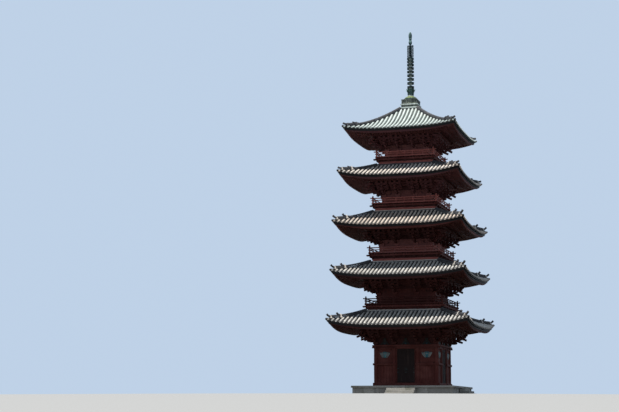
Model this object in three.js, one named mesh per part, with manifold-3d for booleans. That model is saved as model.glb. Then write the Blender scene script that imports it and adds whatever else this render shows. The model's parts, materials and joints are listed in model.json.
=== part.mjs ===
// A five-storied timber pagoda with tiled and copper roofs, standing on a stone podium.
// Millimetres, +Z up. The origin is the middle of the podium's underside, the front faces -Y.

import * as THREE from 'three';
import { mergeVertices } from 'three/addons/utils/BufferGeometryUtils.js';
import Module from 'manifold-3d';

const wasm = await Module();
wasm.setup();

// Podium and steps
const PODIUM_TOP = 900;
const PODIUM_HALF = 3850;
const COPING_OVERHANG = 90;
const COPING_THICK = 150;
const STEP_COUNT = 4;
const STEP_TREAD = 320;
const STEP_HALF_WIDTH = 1100;

// Ground storey
const SILL_HEIGHT = 240;
const FLOOR_THICK = 60;
const COLUMN_RADIUS = 170;
const WALL_THICK = 100;
const MID_RAIL_Z = 2550;
const MID_RAIL_HEIGHT = 150;
const DOOR_HEAD_Z = 3720;
const HEAD_BEAM_HEIGHT = 130;
const WALL_PLATE_HEIGHT = 110;
const PLATE_REACH_IN = 40;
const PLATE_REACH_OUT = 60;
const RAIL_STANDS_OUT = 30;
const CENTRE_BAY_SHARE = 0.39;

// Doors
const JAMB_WIDTH = 60;
const LEAF_THICK = 50;
const LEAF_MIDDLE_GAP = 10;
const LEAF_EDGE_GAP = 14;
const LEAF_END_GAP = 12;
const LEAF_SET_OUT = 45;
const PIVOT_RADIUS = 20;
const PIVOT_INSET = 35;

// Storeys, from the ground up. Half-widths are measured from the middle of the plan.
// body: wall columns, eave: roof edge, waist: where the next storey's waist meets the roof,
// edgeZ: underside of the roof edge at mid side, topZ: roof line at the waist,
// sag: how hollow the roof slope is, cover: thickness of the roof cover, lift: rise of the
// eave at the corners, curl: how fast that rise dies out up the slope, floorZ: balcony floor,
// post: railing corner post.
const STOREYS = [
  {
    body: 2530, eave: 5500, waist: 2860, edgeZ: 5270, topZ: 6650,
    sag: 0.08, cover: 200, lift: 470, curl: 2.2,
  },
  {
    body: 2330, eave: 5250, waist: 2580, edgeZ: 9080, topZ: 10450,
    sag: 0.08, cover: 200, lift: 420, curl: 2.2, floorZ: 7120, post: 2990,
  },
  {
    body: 2120, eave: 5130, waist: 2400, edgeZ: 12920, topZ: 14430,
    sag: 0.08, cover: 170, lift: 420, curl: 2.2, floorZ: 11100, post: 2740,
  },
  {
    body: 1930, eave: 4810, waist: 2160, edgeZ: 16830, topZ: 18150,
    sag: 0.08, cover: 170, lift: 450, curl: 2.2, floorZ: 15010, post: 2520,
  },
  {
    body: 1730, eave: 4490, waist: 620, edgeZ: 20510, topZ: 22970,
    sag: 0.5, cover: 170, lift: 320, curl: 4, floorZ: 18730, post: 2270,
  },
];

const TOP_ROOF = STOREYS[4];

// Roof form
const LIFT_ALONG_EAVE = 3.2;
const EAVE_STATIONS = [-1, -0.86, -0.5, 0.5, 0.86, 1];
const RIDGE_WIDTH = 300;
const RIDGE_HEIGHT = 230;
const RIDGE_END_BACK = 940;
const TAIL_END_BACK = 340;
const TAIL_RIDGE_WIDTH = 220;
const TAIL_RIDGE_HEIGHT = 130;
const RIDGE_SUNK = 120;
const RIDGE_START = 320;
const TAIL_INTO_RIDGE = 100;

// Roof covering: main ribs, every second one of the real ones, and the pans between them,
// which lie under the roof line, and the flat course that closes the roof against the waist
const RIB_PITCH = 305;
const PITCHES_PER_MAIN_RIB = 2;
const RIB_FROM_CORNER = 200;
const RIB_HALF_WIDTH = 82;
const RIB_TOP_HALF_WIDTH = 45;
const RIB_RISE = 32;
const RIB_SUNK = 100;
const RIB_INTO_RIDGE = 100;
const PAN_SINK = 65;
const COURSE_WIDTH = 150;
const COURSE_DEEP = 160;
const RIB_INTO_COURSE = 30;

// Rafters: the flying tier at the edge, the base tier behind it
const FLYING_REACH = 850;
const FLYING_SLOPE = 0.2;
const BASE_SLOPE = 0.35;
const TIER_STEP = 130;
const RAFTER_DEEP = 150;
const EDGE_BOARD_SET_BACK = 90;
const EDGE_BOARD_DROP = 230;
const EDGE_BOARD_UP = 110;
const PURLIN_CLEAR = 5;
const SEAT_BACK = 300;
const SEAT_MARGIN = 60;

// Brackets carry the purlin in three steps out from the wall
const BRACKET_DROP = 1250;
const BRACKET_STEP = 300;
const BRACKET_STEPS = 3;
const ARM_WIDTH = 170;
const ARM_START_BACK = 250;
const BRACKET_WALL_BACK = 170;
const BRACKET_WALL_HALF = 90;
const PURLIN_HALF_WIDTH = 90;
const PURLIN_DEEP = 200;
const UPPER_COLUMN_RADIUS = 130;
const UPPER_PLATE_REACH_OUT = 50;

// Balconies
const BALCONY_FLOOR_THICK = 110;
const BALCONY_LIP = 90;
const BALCONY_REACH_IN = 300;
const NOSE_REACH = 230;
const EDGE_BEAM_DEEP = 120;
const WAIST_THICK = 120;
const POST_HEIGHT = 630;
const LOW_RAIL_TOP = 100;
const MID_RAIL_UP = 270;
const TOP_RAIL_UP = 430;
const RAIL_HALF_DEEP = 35;
const MID_POST_SHARE = 0.27;
const POST_WIDTH = 130;
const RAIL_WIDTH = 90;

// Spire
const PILLAR_HALF = 230;
const ROBAN_HALF = 630;
const ROBAN_BASE_HALF = 700;
const ROBAN_BOX_Z = 23330;
const ROBAN_TOP_Z = 23680;
const LID_THICK = 90;
const LID_REACH_OUT = 30;
const PILLAR_UNDER_LID = 200;
const PILLAR_GAP = 2;
const DOME_RADIUS = 410;
const LOTUS_Z = 24180;
const LOTUS_TOP_Z = 24640;
const LOTUS_RADIUS = 360;
const MAST_RADIUS = 65;
const RING_COUNT = 9;
const RING_RADIUS = 285;
const RING_HEIGHT = 110;
const FIRST_RING_Z = 24770;
const LAST_RING_Z = 27140;
const RING_CROWDING = 0.16;
const FLAME_BOTTOM_Z = 27330;
const FLAME_TOP_Z = 28290;
const FLAME_REACH = 265;
const FLAME_THICK = 24;
const MAST_BELOW_FLAME = 60;
const MAST_ABOVE_FLAME = 80;
const WHEEL_Z = 28480;
const WHEEL_RADIUS = 165;
const JEWEL_Z = 28980;
const JEWEL_RADIUS = 140;
const TIP_Z = 29400;

// Faces flatter than this against each other become one face
const SNAP = 0.01;

// Gap kept between pieces that touch along turned or curved faces
const TOUCH = 0.3;

const pagoda = new THREE.Group();

const looks = {
  stone: new THREE.MeshStandardMaterial({ color: 0x9a958a, roughness: 0.9, metalness: 0 }),
  redTimber: new THREE.MeshStandardMaterial({ color: 0x5a2620, roughness: 0.75, metalness: 0 }),
  darkTimber: new THREE.MeshStandardMaterial({ color: 0x35191a, roughness: 0.8, metalness: 0 }),
  tile: new THREE.MeshStandardMaterial({ color: 0x6b6e70, roughness: 0.6, metalness: 0 }),
  copper: new THREE.MeshStandardMaterial({ color: 0x7f978a, roughness: 0.6, metalness: 0.3 }),
  bronze: new THREE.MeshStandardMaterial({ color: 0x4a5f57, roughness: 0.6, metalness: 0.4 }),
};

function add(name, geometry, material, parent = pagoda) {
  const flat = geometry.index ? geometry.toNonIndexed() : geometry;
  flat.computeVertexNormals();
  const mesh = new THREE.Mesh(flat, material.clone());
  mesh.name = name;
  parent.add(mesh);
  return mesh;
}

function bare(geometry) {
  const copy = geometry.clone();
  copy.deleteAttribute('normal');
  copy.deleteAttribute('uv');
  return mergeVertices(copy, 0.01);
}

function solid(geometry) {
  const merged = bare(geometry);
  const mesh = new wasm.Mesh({
    numProp: 3,
    vertProperties: new Float32Array(merged.attributes.position.array),
    triVerts: new Uint32Array(merged.index.array),
  });
  return new wasm.Manifold(mesh);
}

function join(geometries) {
  return geometries.map(solid).reduce((whole, next) => whole.add(next)).asOriginal().simplify(SNAP);
}

function geometryOf(manifold) {
  const mesh = manifold.getMesh();
  const points = [];
  for (let i = 0; i < mesh.vertProperties.length; i += mesh.numProp) {
    points.push(mesh.vertProperties[i], mesh.vertProperties[i + 1], mesh.vertProperties[i + 2]);
  }
  const geometry = new THREE.BufferGeometry();
  geometry.setAttribute('position', new THREE.Float32BufferAttribute(points, 3));
  geometry.setIndex(Array.from(mesh.triVerts));
  return geometry;
}

function box(x0, x1, y0, y1, z0, z1) {
  const shape = new THREE.BoxGeometry(x1 - x0, y1 - y0, z1 - z0);
  return shape.translate((x0 + x1) / 2, (y0 + y1) / 2, (z0 + z1) / 2);
}

// A square ring in plan, from half-width inner to half-width outer.
function squareRing(inner, outer, z0, z1) {
  const shape = new THREE.Shape();
  shape.moveTo(-outer, -outer);
  shape.lineTo(outer, -outer);
  shape.lineTo(outer, outer);
  shape.lineTo(-outer, outer);
  shape.closePath();
  const hole = new THREE.Path();
  hole.moveTo(-inner, -inner);
  hole.lineTo(-inner, inner);
  hole.lineTo(inner, inner);
  hole.lineTo(inner, -inner);
  hole.closePath();
  shape.holes.push(hole);
  const ring = new THREE.ExtrudeGeometry(shape, { depth: z1 - z0, bevelEnabled: false });
  return ring.translate(0, 0, z0);
}

// The shape of one side, repeated on all four.
function fourSides(geometries) {
  const all = [];
  for (let turn = 0; turn < 4; turn += 1) {
    for (const geometry of geometries) {
      all.push(geometry.clone().rotateZ((turn * Math.PI) / 2));
    }
  }
  return all;
}

function column(x, y, z0, z1, radius = COLUMN_RADIUS) {
  const round = new THREE.CylinderGeometry(radius, radius, z1 - z0, 8);
  return round.rotateX(Math.PI / 2).rotateZ(Math.PI / 8).translate(x, y, (z0 + z1) / 2);
}

function prism(outline, depth) {
  const shape = new THREE.Shape(outline.map(([a, b]) => new THREE.Vector2(a, b)));
  return new THREE.ExtrudeGeometry(shape, { depth, bevelEnabled: false });
}

// Podium, steps and floor

function podium() {
  const core = box(-PODIUM_HALF, PODIUM_HALF, -PODIUM_HALF, PODIUM_HALF, 0, PODIUM_TOP);
  const wide = PODIUM_HALF + COPING_OVERHANG;
  const coping = box(-wide, wide, -wide, wide, PODIUM_TOP - COPING_THICK, PODIUM_TOP);
  return geometryOf(join([core, coping]));
}

function steps() {
  const rise = PODIUM_TOP / (STEP_COUNT + 1);
  const wall = PODIUM_HALF + TOUCH;
  const start = PODIUM_HALF + COPING_OVERHANG;
  const outline = [[wall, 0], [start + STEP_COUNT * STEP_TREAD, 0]];
  for (let i = 1; i <= STEP_COUNT; i += 1) {
    const back = i < STEP_COUNT ? start + (STEP_COUNT - i) * STEP_TREAD : wall;
    outline.push([start + (STEP_COUNT - i + 1) * STEP_TREAD, i * rise]);
    outline.push([back, i * rise]);
  }
  const flight = prism(outline, 2 * STEP_HALF_WIDTH);
  return flight.translate(0, 0, -STEP_HALF_WIDTH).rotateX(Math.PI / 2).rotateZ(-Math.PI / 2);
}

const ground = STOREYS[0];
const columnLine = ground.body - COLUMN_RADIUS;
const doorColumn = CENTRE_BAY_SHARE * columnLine;
const wallBase = PODIUM_TOP;
const thresholdTop = PODIUM_TOP + SILL_HEIGHT;
const headBeamZ = ground.edgeZ - BRACKET_DROP - WALL_PLATE_HEIGHT - HEAD_BEAM_HEIGHT;

function groundFloor() {
  const inside = columnLine - COLUMN_RADIUS - TOUCH;
  const top = thresholdTop - FLOOR_THICK;
  return box(-inside, inside, -inside, inside, PODIUM_TOP, top);
}

// The L-shaped corner of the ground storey: a corner column, two panelled bays
// and the two columns beside the doorways.
function groundCorner() {
  const c = columnLine;
  const d = doorColumn;
  const half = WALL_THICK / 2;
  const out = c + COLUMN_RADIUS + RAIL_STANDS_OUT;
  const end = COLUMN_RADIUS - d;
  const railLow = MID_RAIL_Z - MID_RAIL_HEIGHT / 2;
  const railHigh = MID_RAIL_Z + MID_RAIL_HEIGHT / 2;
  const parts = [
    column(-c, -c, wallBase, headBeamZ),
    column(-d, -c, wallBase, headBeamZ),
    column(-c, -d, wallBase, headBeamZ),
    box(-c, -d, -c - half, -c + half, wallBase, headBeamZ),
    box(-c - half, -c + half, -c, -d, wallBase, headBeamZ),
    box(-out, end, -out, -c, railLow, railHigh),
    box(-out, -c, -out, end, railLow, railHigh),
    box(-out, end, -out, COLUMN_RADIUS - c, wallBase, thresholdTop),
    box(-out, COLUMN_RADIUS - c, -out, end, wallBase, thresholdTop),
  ];
  return geometryOf(join(parts));
}

// The doorway: threshold, jambs and head, between the door columns.
function doorway() {
  const reach = doorColumn - COLUMN_RADIUS - TOUCH;
  const outer = -columnLine - COLUMN_RADIUS;
  const inner = COLUMN_RADIUS - columnLine;
  const y0 = -columnLine - 2 * LEAF_SET_OUT;
  const y1 = -columnLine;
  const sill = box(-reach, reach, outer, inner, wallBase, thresholdTop);
  const head = box(-reach, reach, y0, y1, DOOR_HEAD_Z, headBeamZ);
  const left = box(-reach, -reach + JAMB_WIDTH, y0, y1, thresholdTop, DOOR_HEAD_Z);
  const right = box(reach - JAMB_WIDTH, reach, y0, y1, thresholdTop, DOOR_HEAD_Z);
  return geometryOf(join([sill, head, left, right]));
}

// One leaf fills half the doorway and turns on pivots that stand on the threshold and reach
// the head. side is -1 for the leaf hung at the left column and 1 for the right one.
function doorLeaf(side) {
  const edge = doorColumn - COLUMN_RADIUS - JAMB_WIDTH - LEAF_EDGE_GAP;
  const y = -columnLine - LEAF_SET_OUT;
  const x0 = side > 0 ? LEAF_MIDDLE_GAP / 2 : -edge;
  const x1 = side < 0 ? -LEAF_MIDDLE_GAP / 2 : edge;
  const z0 = thresholdTop + LEAF_END_GAP;
  const z1 = DOOR_HEAD_Z - LEAF_END_GAP;
  const leaf = box(x0, x1, y - LEAF_THICK / 2, y + LEAF_THICK / 2, z0, z1);
  const low = thresholdTop + TOUCH;
  const high = DOOR_HEAD_Z - TOUCH;
  return geometryOf(join([leaf, column(side * (edge - PIVOT_INSET), y, low, high, PIVOT_RADIUS)]));
}

// A closed pair on a side whose doors stay shut.
function closedDoors() {
  const edge = doorColumn - COLUMN_RADIUS - JAMB_WIDTH - TOUCH;
  const y = -columnLine - LEAF_SET_OUT;
  const high = DOOR_HEAD_Z - TOUCH;
  return box(-edge, edge, y - LEAF_THICK / 2, y + LEAF_THICK / 2, thresholdTop, high);
}

function headBeams() {
  const inner = columnLine - COLUMN_RADIUS / 2;
  const outer = columnLine + COLUMN_RADIUS / 2;
  const beamTop = headBeamZ + HEAD_BEAM_HEIGHT;
  const beam = squareRing(inner, outer, headBeamZ, beamTop);
  const [plateIn, plateOut] = [inner - PLATE_REACH_IN, ground.body + PLATE_REACH_OUT];
  const plate = squareRing(plateIn, plateOut, beamTop, beamTop + WALL_PLATE_HEIGHT);
  return geometryOf(join([beam, plate]));
}

// Upper storey walls: columns, double boarded panels and the plate that the brackets stand on.
function upperWalls(storey) {
  const radius = UPPER_COLUMN_RADIUS;
  const line = storey.body - radius;
  const top = storey.edgeZ - BRACKET_DROP;
  const plate = top - WALL_PLATE_HEIGHT;
  const z0 = storey.floorZ;
  const d = CENTRE_BAY_SHARE * line;
  const side = [
    column(-line, -line, z0, plate, radius),
    column(-d, -line, z0, plate, radius),
    column(d, -line, z0, plate, radius),
  ];
  const wall = squareRing(line - radius, line + WALL_THICK / 2, z0, plate);
  const ring = squareRing(line - radius, storey.body + UPPER_PLATE_REACH_OUT, plate, top);
  return geometryOf(join([...fourSides(side), wall, ring]));
}

// Brackets: a wall ring, stepped arms at every column and on the diagonals, and the purlin.
// The side of an arm, in distance from the middle and height; stretch is for the diagonals.
function bracketOutline(storey, stretch, base, top) {
  const start = storey.body - ARM_START_BACK;
  const rise = (top - PURLIN_DEEP / 2 - base) / (BRACKET_STEPS + 1);
  const outline = [[start * stretch, base + rise]];
  for (let step = 1; step <= BRACKET_STEPS; step += 1) {
    const reach = storey.body + step * BRACKET_STEP;
    outline.push([reach * stretch, base + step * rise]);
    outline.push([reach * stretch, base + (step + 1) * rise]);
  }
  outline.push([start * stretch, base + (BRACKET_STEPS + 1) * rise]);
  return outline;
}

function bracketArm(storey, base, top, shift) {
  const arm = prism(bracketOutline(storey, 1, base, top), ARM_WIDTH);
  return arm.translate(0, 0, -ARM_WIDTH / 2).rotateX(Math.PI / 2).rotateZ(-Math.PI / 2)
    .translate(shift, 0, 0);
}

function cornerArm(storey, base, top) {
  const arm = prism(bracketOutline(storey, Math.SQRT2, base, top), ARM_WIDTH);
  return arm.translate(0, 0, -ARM_WIDTH / 2).rotateX(Math.PI / 2).rotateZ(-Math.PI / 4);
}

function purlinReach(storey) {
  return storey.body + BRACKET_STEPS * BRACKET_STEP;
}

function purlinTop(storey) {
  return rafterUnderside(storey, purlinReach(storey) + PURLIN_HALF_WIDTH);
}

function brackets(storey) {
  const base = storey.edgeZ - BRACKET_DROP;
  const line = storey.body - BRACKET_WALL_BACK;
  const d = CENTRE_BAY_SHARE * line;
  const reach = purlinReach(storey);
  const top = purlinTop(storey) - TOUCH;
  const wall = squareRing(line - BRACKET_WALL_HALF, line + BRACKET_WALL_HALF, base, top);
  const outer = reach + PURLIN_HALF_WIDTH;
  const purlin = squareRing(reach - PURLIN_HALF_WIDTH, outer, top - PURLIN_DEEP, top);
  const side = [-line, -d, d, line].map((x) => bracketArm(storey, base, top, x));
  side.push(cornerArm(storey, base, top));
  return geometryOf(join([wall, purlin, ...fourSides(side)]));
}

// Rafters: height of their underside at a distance from the middle, at mid side.
function rafterUnderside(storey, reach) {
  const edge = storey.eave - EDGE_BOARD_SET_BACK;
  const split = edge - FLYING_REACH;
  const start = storey.edgeZ - EDGE_BOARD_DROP;
  const rise = Math.min(edge - reach, FLYING_REACH) * FLYING_SLOPE;
  if (reach >= split) {
    return start + rise;
  }
  return start + rise - TIER_STEP + (split - reach) * BASE_SLOPE;
}

// How far the eave has risen at a place: along is -1 to 1 along the side, inward 0 at the
// roof edge and 1 at the waist.
function lift(storey, along, inward) {
  const slope = Math.pow(Math.max(0, 1 - inward), storey.curl);
  return storey.lift * Math.pow(Math.abs(along), LIFT_ALONG_EAVE) * slope;
}

// A closed ring around the building swept from a section. Each section point gives a
// half-width and a height, and the height is lifted towards the corners. A facet is split along
// the diagonal that runs up the slope, the same way in both halves of a side.
function sweptRing(storey, section) {
  const span = storey.eave - storey.waist;
  const rows = EAVE_STATIONS.length - 1;
  const points = [];
  const faces = [];
  for (let turn = 0; turn < 4; turn += 1) {
    for (let j = 0; j < rows; j += 1) {
      for (const [reach, z, lifted] of section) {
        const along = EAVE_STATIONS[j];
        const inward = (storey.eave - reach) / span;
        const p = new THREE.Vector3(along * reach, -reach, z + lifted * lift(storey, along, inward));
        p.applyAxisAngle(new THREE.Vector3(0, 0, 1), (turn * Math.PI) / 2);
        points.push(p.x, p.y, p.z);
      }
    }
  }
  const count = section.length;
  const stations = 4 * rows;
  for (let j = 0; j < stations; j += 1) {
    const towardsMiddle = Math.abs(EAVE_STATIONS[j % rows]) > Math.abs(EAVE_STATIONS[(j % rows) + 1]);
    for (let k = 0; k < count; k += 1) {
      const a = j * count + k;
      const b = j * count + ((k + 1) % count);
      const c = ((j + 1) % stations) * count + ((k + 1) % count);
      const d = ((j + 1) % stations) * count + k;
      const outwardStep = section[(k + 1) % count][0] > section[k][0];
      if (outwardStep === towardsMiddle) {
        faces.push(a, b, c, a, c, d);
      } else {
        faces.push(a, b, d, b, c, d);
      }
    }
  }
  const geometry = new THREE.BufferGeometry();
  geometry.setAttribute('position', new THREE.Float32BufferAttribute(points, 3));
  geometry.setIndex(faces);
  return geometry;
}

// Roof line at mid side, inward from 0 at the edge to 1 at the waist.
function roofHeight(storey, inward) {
  const z0 = storey.edgeZ + storey.cover;
  const eased = inward - storey.sag * inward * (1 - inward);
  return z0 + (storey.topZ - z0) * eased;
}

// Where the roof bends up its slope, as shares from the edge to the waist.
function roofRows(storey) {
  return storey.sag > 0.2 ? [0, 0.3, 0.6, 1] : [0, 0.45, 1];
}

function roofSection(storey) {
  const rows = roofRows(storey);
  const inner = storey.waist + TOUCH;
  const span = storey.eave - inner;
  const edgeRow = EDGE_BOARD_SET_BACK / span;
  const under = [0, edgeRow, ...rows.slice(1)];
  const top = rows.map((t) => [storey.eave - t * span, roofHeight(storey, t) - PAN_SINK, 1]);
  const bottom = under.map((t) => [storey.eave - t * span, roofHeight(storey, t) - storey.cover, 1]);
  return [...bottom, ...top.reverse()];
}

// A value between those at neighbouring stops.
function between(stops, place, valueAt) {
  const last = stops.length - 1;
  const next = Math.max(1, Math.min(last, stops.findIndex((stop) => stop >= place)));
  const [a, b] = [stops[next - 1], stops[next]];
  const share = (place - a) / (b - a);
  return valueAt(a) * (1 - share) + valueAt(b) * share;
}

// Height of the roof line at a place on the front side, flat between stations and rows as the
// cover is.
function facetHeight(storey, x, reach) {
  const inward = (storey.eave - reach) / (storey.eave - storey.waist);
  const liftAt = (row) => between(EAVE_STATIONS, x / reach, (station) => lift(storey, station, row));
  return between(roofRows(storey), inward, (row) => roofHeight(storey, row) + liftAt(row));
}

// A closed solid through sections of four points each.
function loft(sections) {
  const points = sections.flat(2);
  const faces = [];
  const end = 4 * (sections.length - 1);
  for (let a = 0; a < end; a += 4) {
    for (let k = 0; k < 4; k += 1) {
      const next = (k + 1) % 4;
      faces.push(a + k, a + next, a + next + 4, a + k, a + next + 4, a + k + 4);
    }
  }
  faces.push(0, 2, 1, 0, 3, 2, end, end + 1, end + 2, end, end + 2, end + 3);
  const geometry = new THREE.BufferGeometry();
  geometry.setAttribute('position', new THREE.Float32BufferAttribute(points, 3));
  geometry.setIndex(faces);
  return outwards(geometry);
}

// A bar along the hip, sitting on the roof surface from one half-width to another.
function hipBar(storey, from, to, width, height) {
  const span = storey.eave - storey.waist;
  const s = width / 2 / Math.SQRT2;
  const sections = [from, (from + to) / 2, to].map((reach) => {
    const inward = (storey.eave - reach) / span;
    const z = roofHeight(storey, inward) + lift(storey, 1, inward);
    const [low, high] = [z - RIDGE_SUNK, z + height];
    return [
      [reach - s, -reach - s, low], [reach + s, -reach + s, low],
      [reach + s, -reach + s, high], [reach - s, -reach - s, high],
    ];
  });
  return loft(sections);
}

// A rib that runs up the front side at x, from the edge to the hip ridge or the waist.
function rib(storey, x) {
  const outer = storey.eave;
  const courseEdge = storey.waist + COURSE_WIDTH;
  const inner = Math.max(courseEdge - RIB_INTO_COURSE, Math.abs(x) + RIB_INTO_RIDGE);
  const bends = roofRows(storey).map((row) => storey.eave - row * (storey.eave - storey.waist));
  const stops = [outer, ...bends.filter((reach) => reach < outer && reach > inner), inner];
  const [wide, narrow] = [RIB_HALF_WIDTH, RIB_TOP_HALF_WIDTH];
  const sections = stops.map((reach) => {
    const z = facetHeight(storey, x, reach);
    const [low, high] = [z - RIB_SUNK, z + RIB_RISE];
    return [
      [x - wide, -reach, low], [x + wide, -reach, low],
      [x + narrow, -reach, high], [x - narrow, -reach, high],
    ];
  });
  return loft(sections);
}

// Places of the main ribs along a side, from the middle outwards to both ends.
function ribPlaces(storey) {
  const outermost = storey.eave - RIB_FROM_CORNER;
  const pitch = outermost / Math.round(outermost / RIB_PITCH);
  const step = PITCHES_PER_MAIN_RIB * pitch;
  const count = Math.floor((outermost - RIB_INTO_RIDGE) / step);
  return Array.from({ length: 2 * count + 1 }, (_, i) => (i - count) * step);
}

function outwards(geometry) {
  const indexed = bare(geometry);
  const p = indexed.attributes.position;
  const index = indexed.index;
  const [a, b, c] = [new THREE.Vector3(), new THREE.Vector3(), new THREE.Vector3()];
  let volume = 0;
  for (let i = 0; i < index.count; i += 3) {
    a.fromBufferAttribute(p, index.getX(i));
    b.fromBufferAttribute(p, index.getX(i + 1));
    c.fromBufferAttribute(p, index.getX(i + 2));
    volume += a.dot(b.cross(c));
  }
  if (volume < 0) {
    const array = index.array;
    for (let i = 0; i < array.length; i += 3) {
      const keep = array[i];
      array[i] = array[i + 1];
      array[i + 1] = keep;
    }
  }
  return indexed;
}

function roof(storey) {
  const shell = outwards(sweptRing(storey, roofSection(storey)));
  const inner = storey.waist + TOUCH;
  const course = squareRing(inner, inner + COURSE_WIDTH, storey.topZ - COURSE_DEEP, storey.topZ);
  const ridgeEnd = storey.eave - RIDGE_END_BACK;
  const ridge = hipBar(storey, storey.waist + RIDGE_START, ridgeEnd, RIDGE_WIDTH, RIDGE_HEIGHT);
  const tailEnd = storey.eave - TAIL_END_BACK;
  const tail = hipBar(storey, ridgeEnd - TAIL_INTO_RIDGE, tailEnd, TAIL_RIDGE_WIDTH, TAIL_RIDGE_HEIGHT);
  const ribs = ribPlaces(storey).map((x) => rib(storey, x));
  return geometryOf(join([shell, course, ...fourSides([ridge, tail, ...ribs])]));
}

// Top of the level seat over the brackets, on which the waist of the next storey stands.
function seatHeight(storey) {
  return purlinTop(storey) + 2 * RAFTER_DEEP;
}

function eavesSection(storey) {
  const edge = storey.eave - EDGE_BOARD_SET_BACK;
  const split = edge - FLYING_REACH;
  const bend = purlinReach(storey) + PURLIN_HALF_WIDTH + PURLIN_CLEAR;
  const inner = Math.max(storey.waist, storey.body) - SEAT_BACK;
  const seatEnd = Math.max(storey.waist + SEAT_MARGIN, inner + SEAT_BACK);
  const edgeRow = EDGE_BOARD_SET_BACK / (storey.eave - storey.waist - TOUCH);
  const coverUnder = roofHeight(storey, edgeRow) - storey.cover - 2 * TOUCH;
  return [
    [edge, rafterUnderside(storey, edge) + EDGE_BOARD_UP, 1],
    [split, rafterUnderside(storey, split), 1],
    [split, rafterUnderside(storey, split - 1), 1],
    [bend, purlinTop(storey), 0],
    [inner, purlinTop(storey), 0],
    [inner, seatHeight(storey), 0],
    [seatEnd, seatHeight(storey), 0],
    [edge, coverUnder, 1],
  ];
}

function eaves(storey) {
  return outwards(sweptRing(storey, eavesSection(storey)));
}

// Balconies: the waist wall that stands on the rafters below, edge beams whose noses cross
// at the corners, and the floor.
function balcony(storey, below) {
  const z = storey.floorZ;
  const edge = storey.post + BALCONY_LIP;
  const nose = storey.post + NOSE_REACH;
  const floorUnder = z - BALCONY_FLOOR_THICK;
  const beamUnder = floorUnder - EDGE_BEAM_DEEP;
  const half = POST_WIDTH / 2;
  const waist = squareRing(below.waist - WAIST_THICK, below.waist, seatHeight(below), floorUnder);
  const floor = squareRing(storey.body - BALCONY_REACH_IN, edge, floorUnder, z);
  const beam = box(-nose, nose, -storey.post - half, -storey.post + half, beamUnder, floorUnder);
  return geometryOf(join([waist, floor, ...fourSides([beam])]));
}

function railing(storey) {
  const z = storey.floorZ;
  const p = storey.post;
  const half = POST_WIDTH / 2;
  const bar = RAIL_WIDTH / 2;
  const mid = z + MID_RAIL_UP;
  const top = z + TOP_RAIL_UP;
  const side = [box(-p - half, -p + half, -p - half, -p + half, z, z + POST_HEIGHT)];
  for (const share of [-MID_POST_SHARE, MID_POST_SHARE]) {
    side.push(box(share * p - bar, share * p + bar, -p - bar, -p + bar, z, top));
  }
  const rails = [
    squareRing(p - bar, p + bar, z, z + LOW_RAIL_TOP),
    squareRing(p - bar, p + bar, mid - RAIL_HALF_DEEP, mid + RAIL_HALF_DEEP),
    squareRing(p - bar, p + bar, top - RAIL_HALF_DEEP, top + RAIL_HALF_DEEP),
  ];
  return geometryOf(join([...fourSides(side), ...rails]));
}

// Spire

function lathe(profile, segments) {
  const points = profile.map(([radius, z]) => new THREE.Vector2(radius, z));
  return outwards(new THREE.LatheGeometry(points, segments).rotateX(Math.PI / 2));
}

function heartPillar() {
  const h = PILLAR_HALF;
  return box(-h, h, -h, h, thresholdTop - FLOOR_THICK, ROBAN_TOP_Z - PILLAR_UNDER_LID);
}

// The box under the dome, hollow where the pillar stands in it.
function roban() {
  const hole = PILLAR_HALF + PILLAR_GAP;
  const base = ROBAN_BASE_HALF;
  const half = ROBAN_HALF;
  const cap = ROBAN_HALF + LID_REACH_OUT;
  const lidZ = ROBAN_TOP_Z - LID_THICK;
  const low = box(-base, base, -base, base, TOP_ROOF.topZ + TOUCH, ROBAN_BOX_Z);
  const body = box(-half, half, -half, half, ROBAN_BOX_Z, lidZ);
  const lid = box(-cap, cap, -cap, cap, lidZ, ROBAN_TOP_Z);
  const hollow = box(-hole, hole, -hole, hole, TOP_ROOF.topZ, ROBAN_TOP_Z - PILLAR_UNDER_LID);
  return geometryOf(join([low, body, lid]).subtract(solid(hollow)));
}

function domeAndLotus() {
  return lathe([
    [0, ROBAN_TOP_Z],
    [DOME_RADIUS, ROBAN_TOP_Z],
    [DOME_RADIUS * 0.96, ROBAN_TOP_Z + 160],
    [DOME_RADIUS * 0.8, ROBAN_TOP_Z + 320],
    [DOME_RADIUS * 0.5, LOTUS_Z - 20],
    [DOME_RADIUS * 0.55, LOTUS_Z + 60],
    [LOTUS_RADIUS * 0.8, LOTUS_Z + 220],
    [LOTUS_RADIUS, LOTUS_TOP_Z - 60],
    [LOTUS_RADIUS * 0.9, LOTUS_TOP_Z],
    [0, LOTUS_TOP_Z],
  ], 12);
}

function nineRings() {
  const profile = [[0, LOTUS_TOP_Z], [MAST_RADIUS, LOTUS_TOP_Z]];
  for (let i = 0; i < RING_COUNT; i += 1) {
    const share = i / (RING_COUNT - 1);
    const crowded = share + RING_CROWDING * share * (1 - share);
    const z = FIRST_RING_Z + (LAST_RING_Z - FIRST_RING_Z) * crowded;
    profile.push([MAST_RADIUS, z - RING_HEIGHT / 2]);
    profile.push([RING_RADIUS, z - RING_HEIGHT / 2]);
    profile.push([RING_RADIUS, z + RING_HEIGHT / 2]);
    profile.push([MAST_RADIUS, z + RING_HEIGHT / 2]);
  }
  profile.push([MAST_RADIUS, FLAME_BOTTOM_Z - MAST_BELOW_FLAME]);
  profile.push([0, FLAME_BOTTOM_Z - MAST_BELOW_FLAME]);
  return lathe(profile, 8);
}

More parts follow.
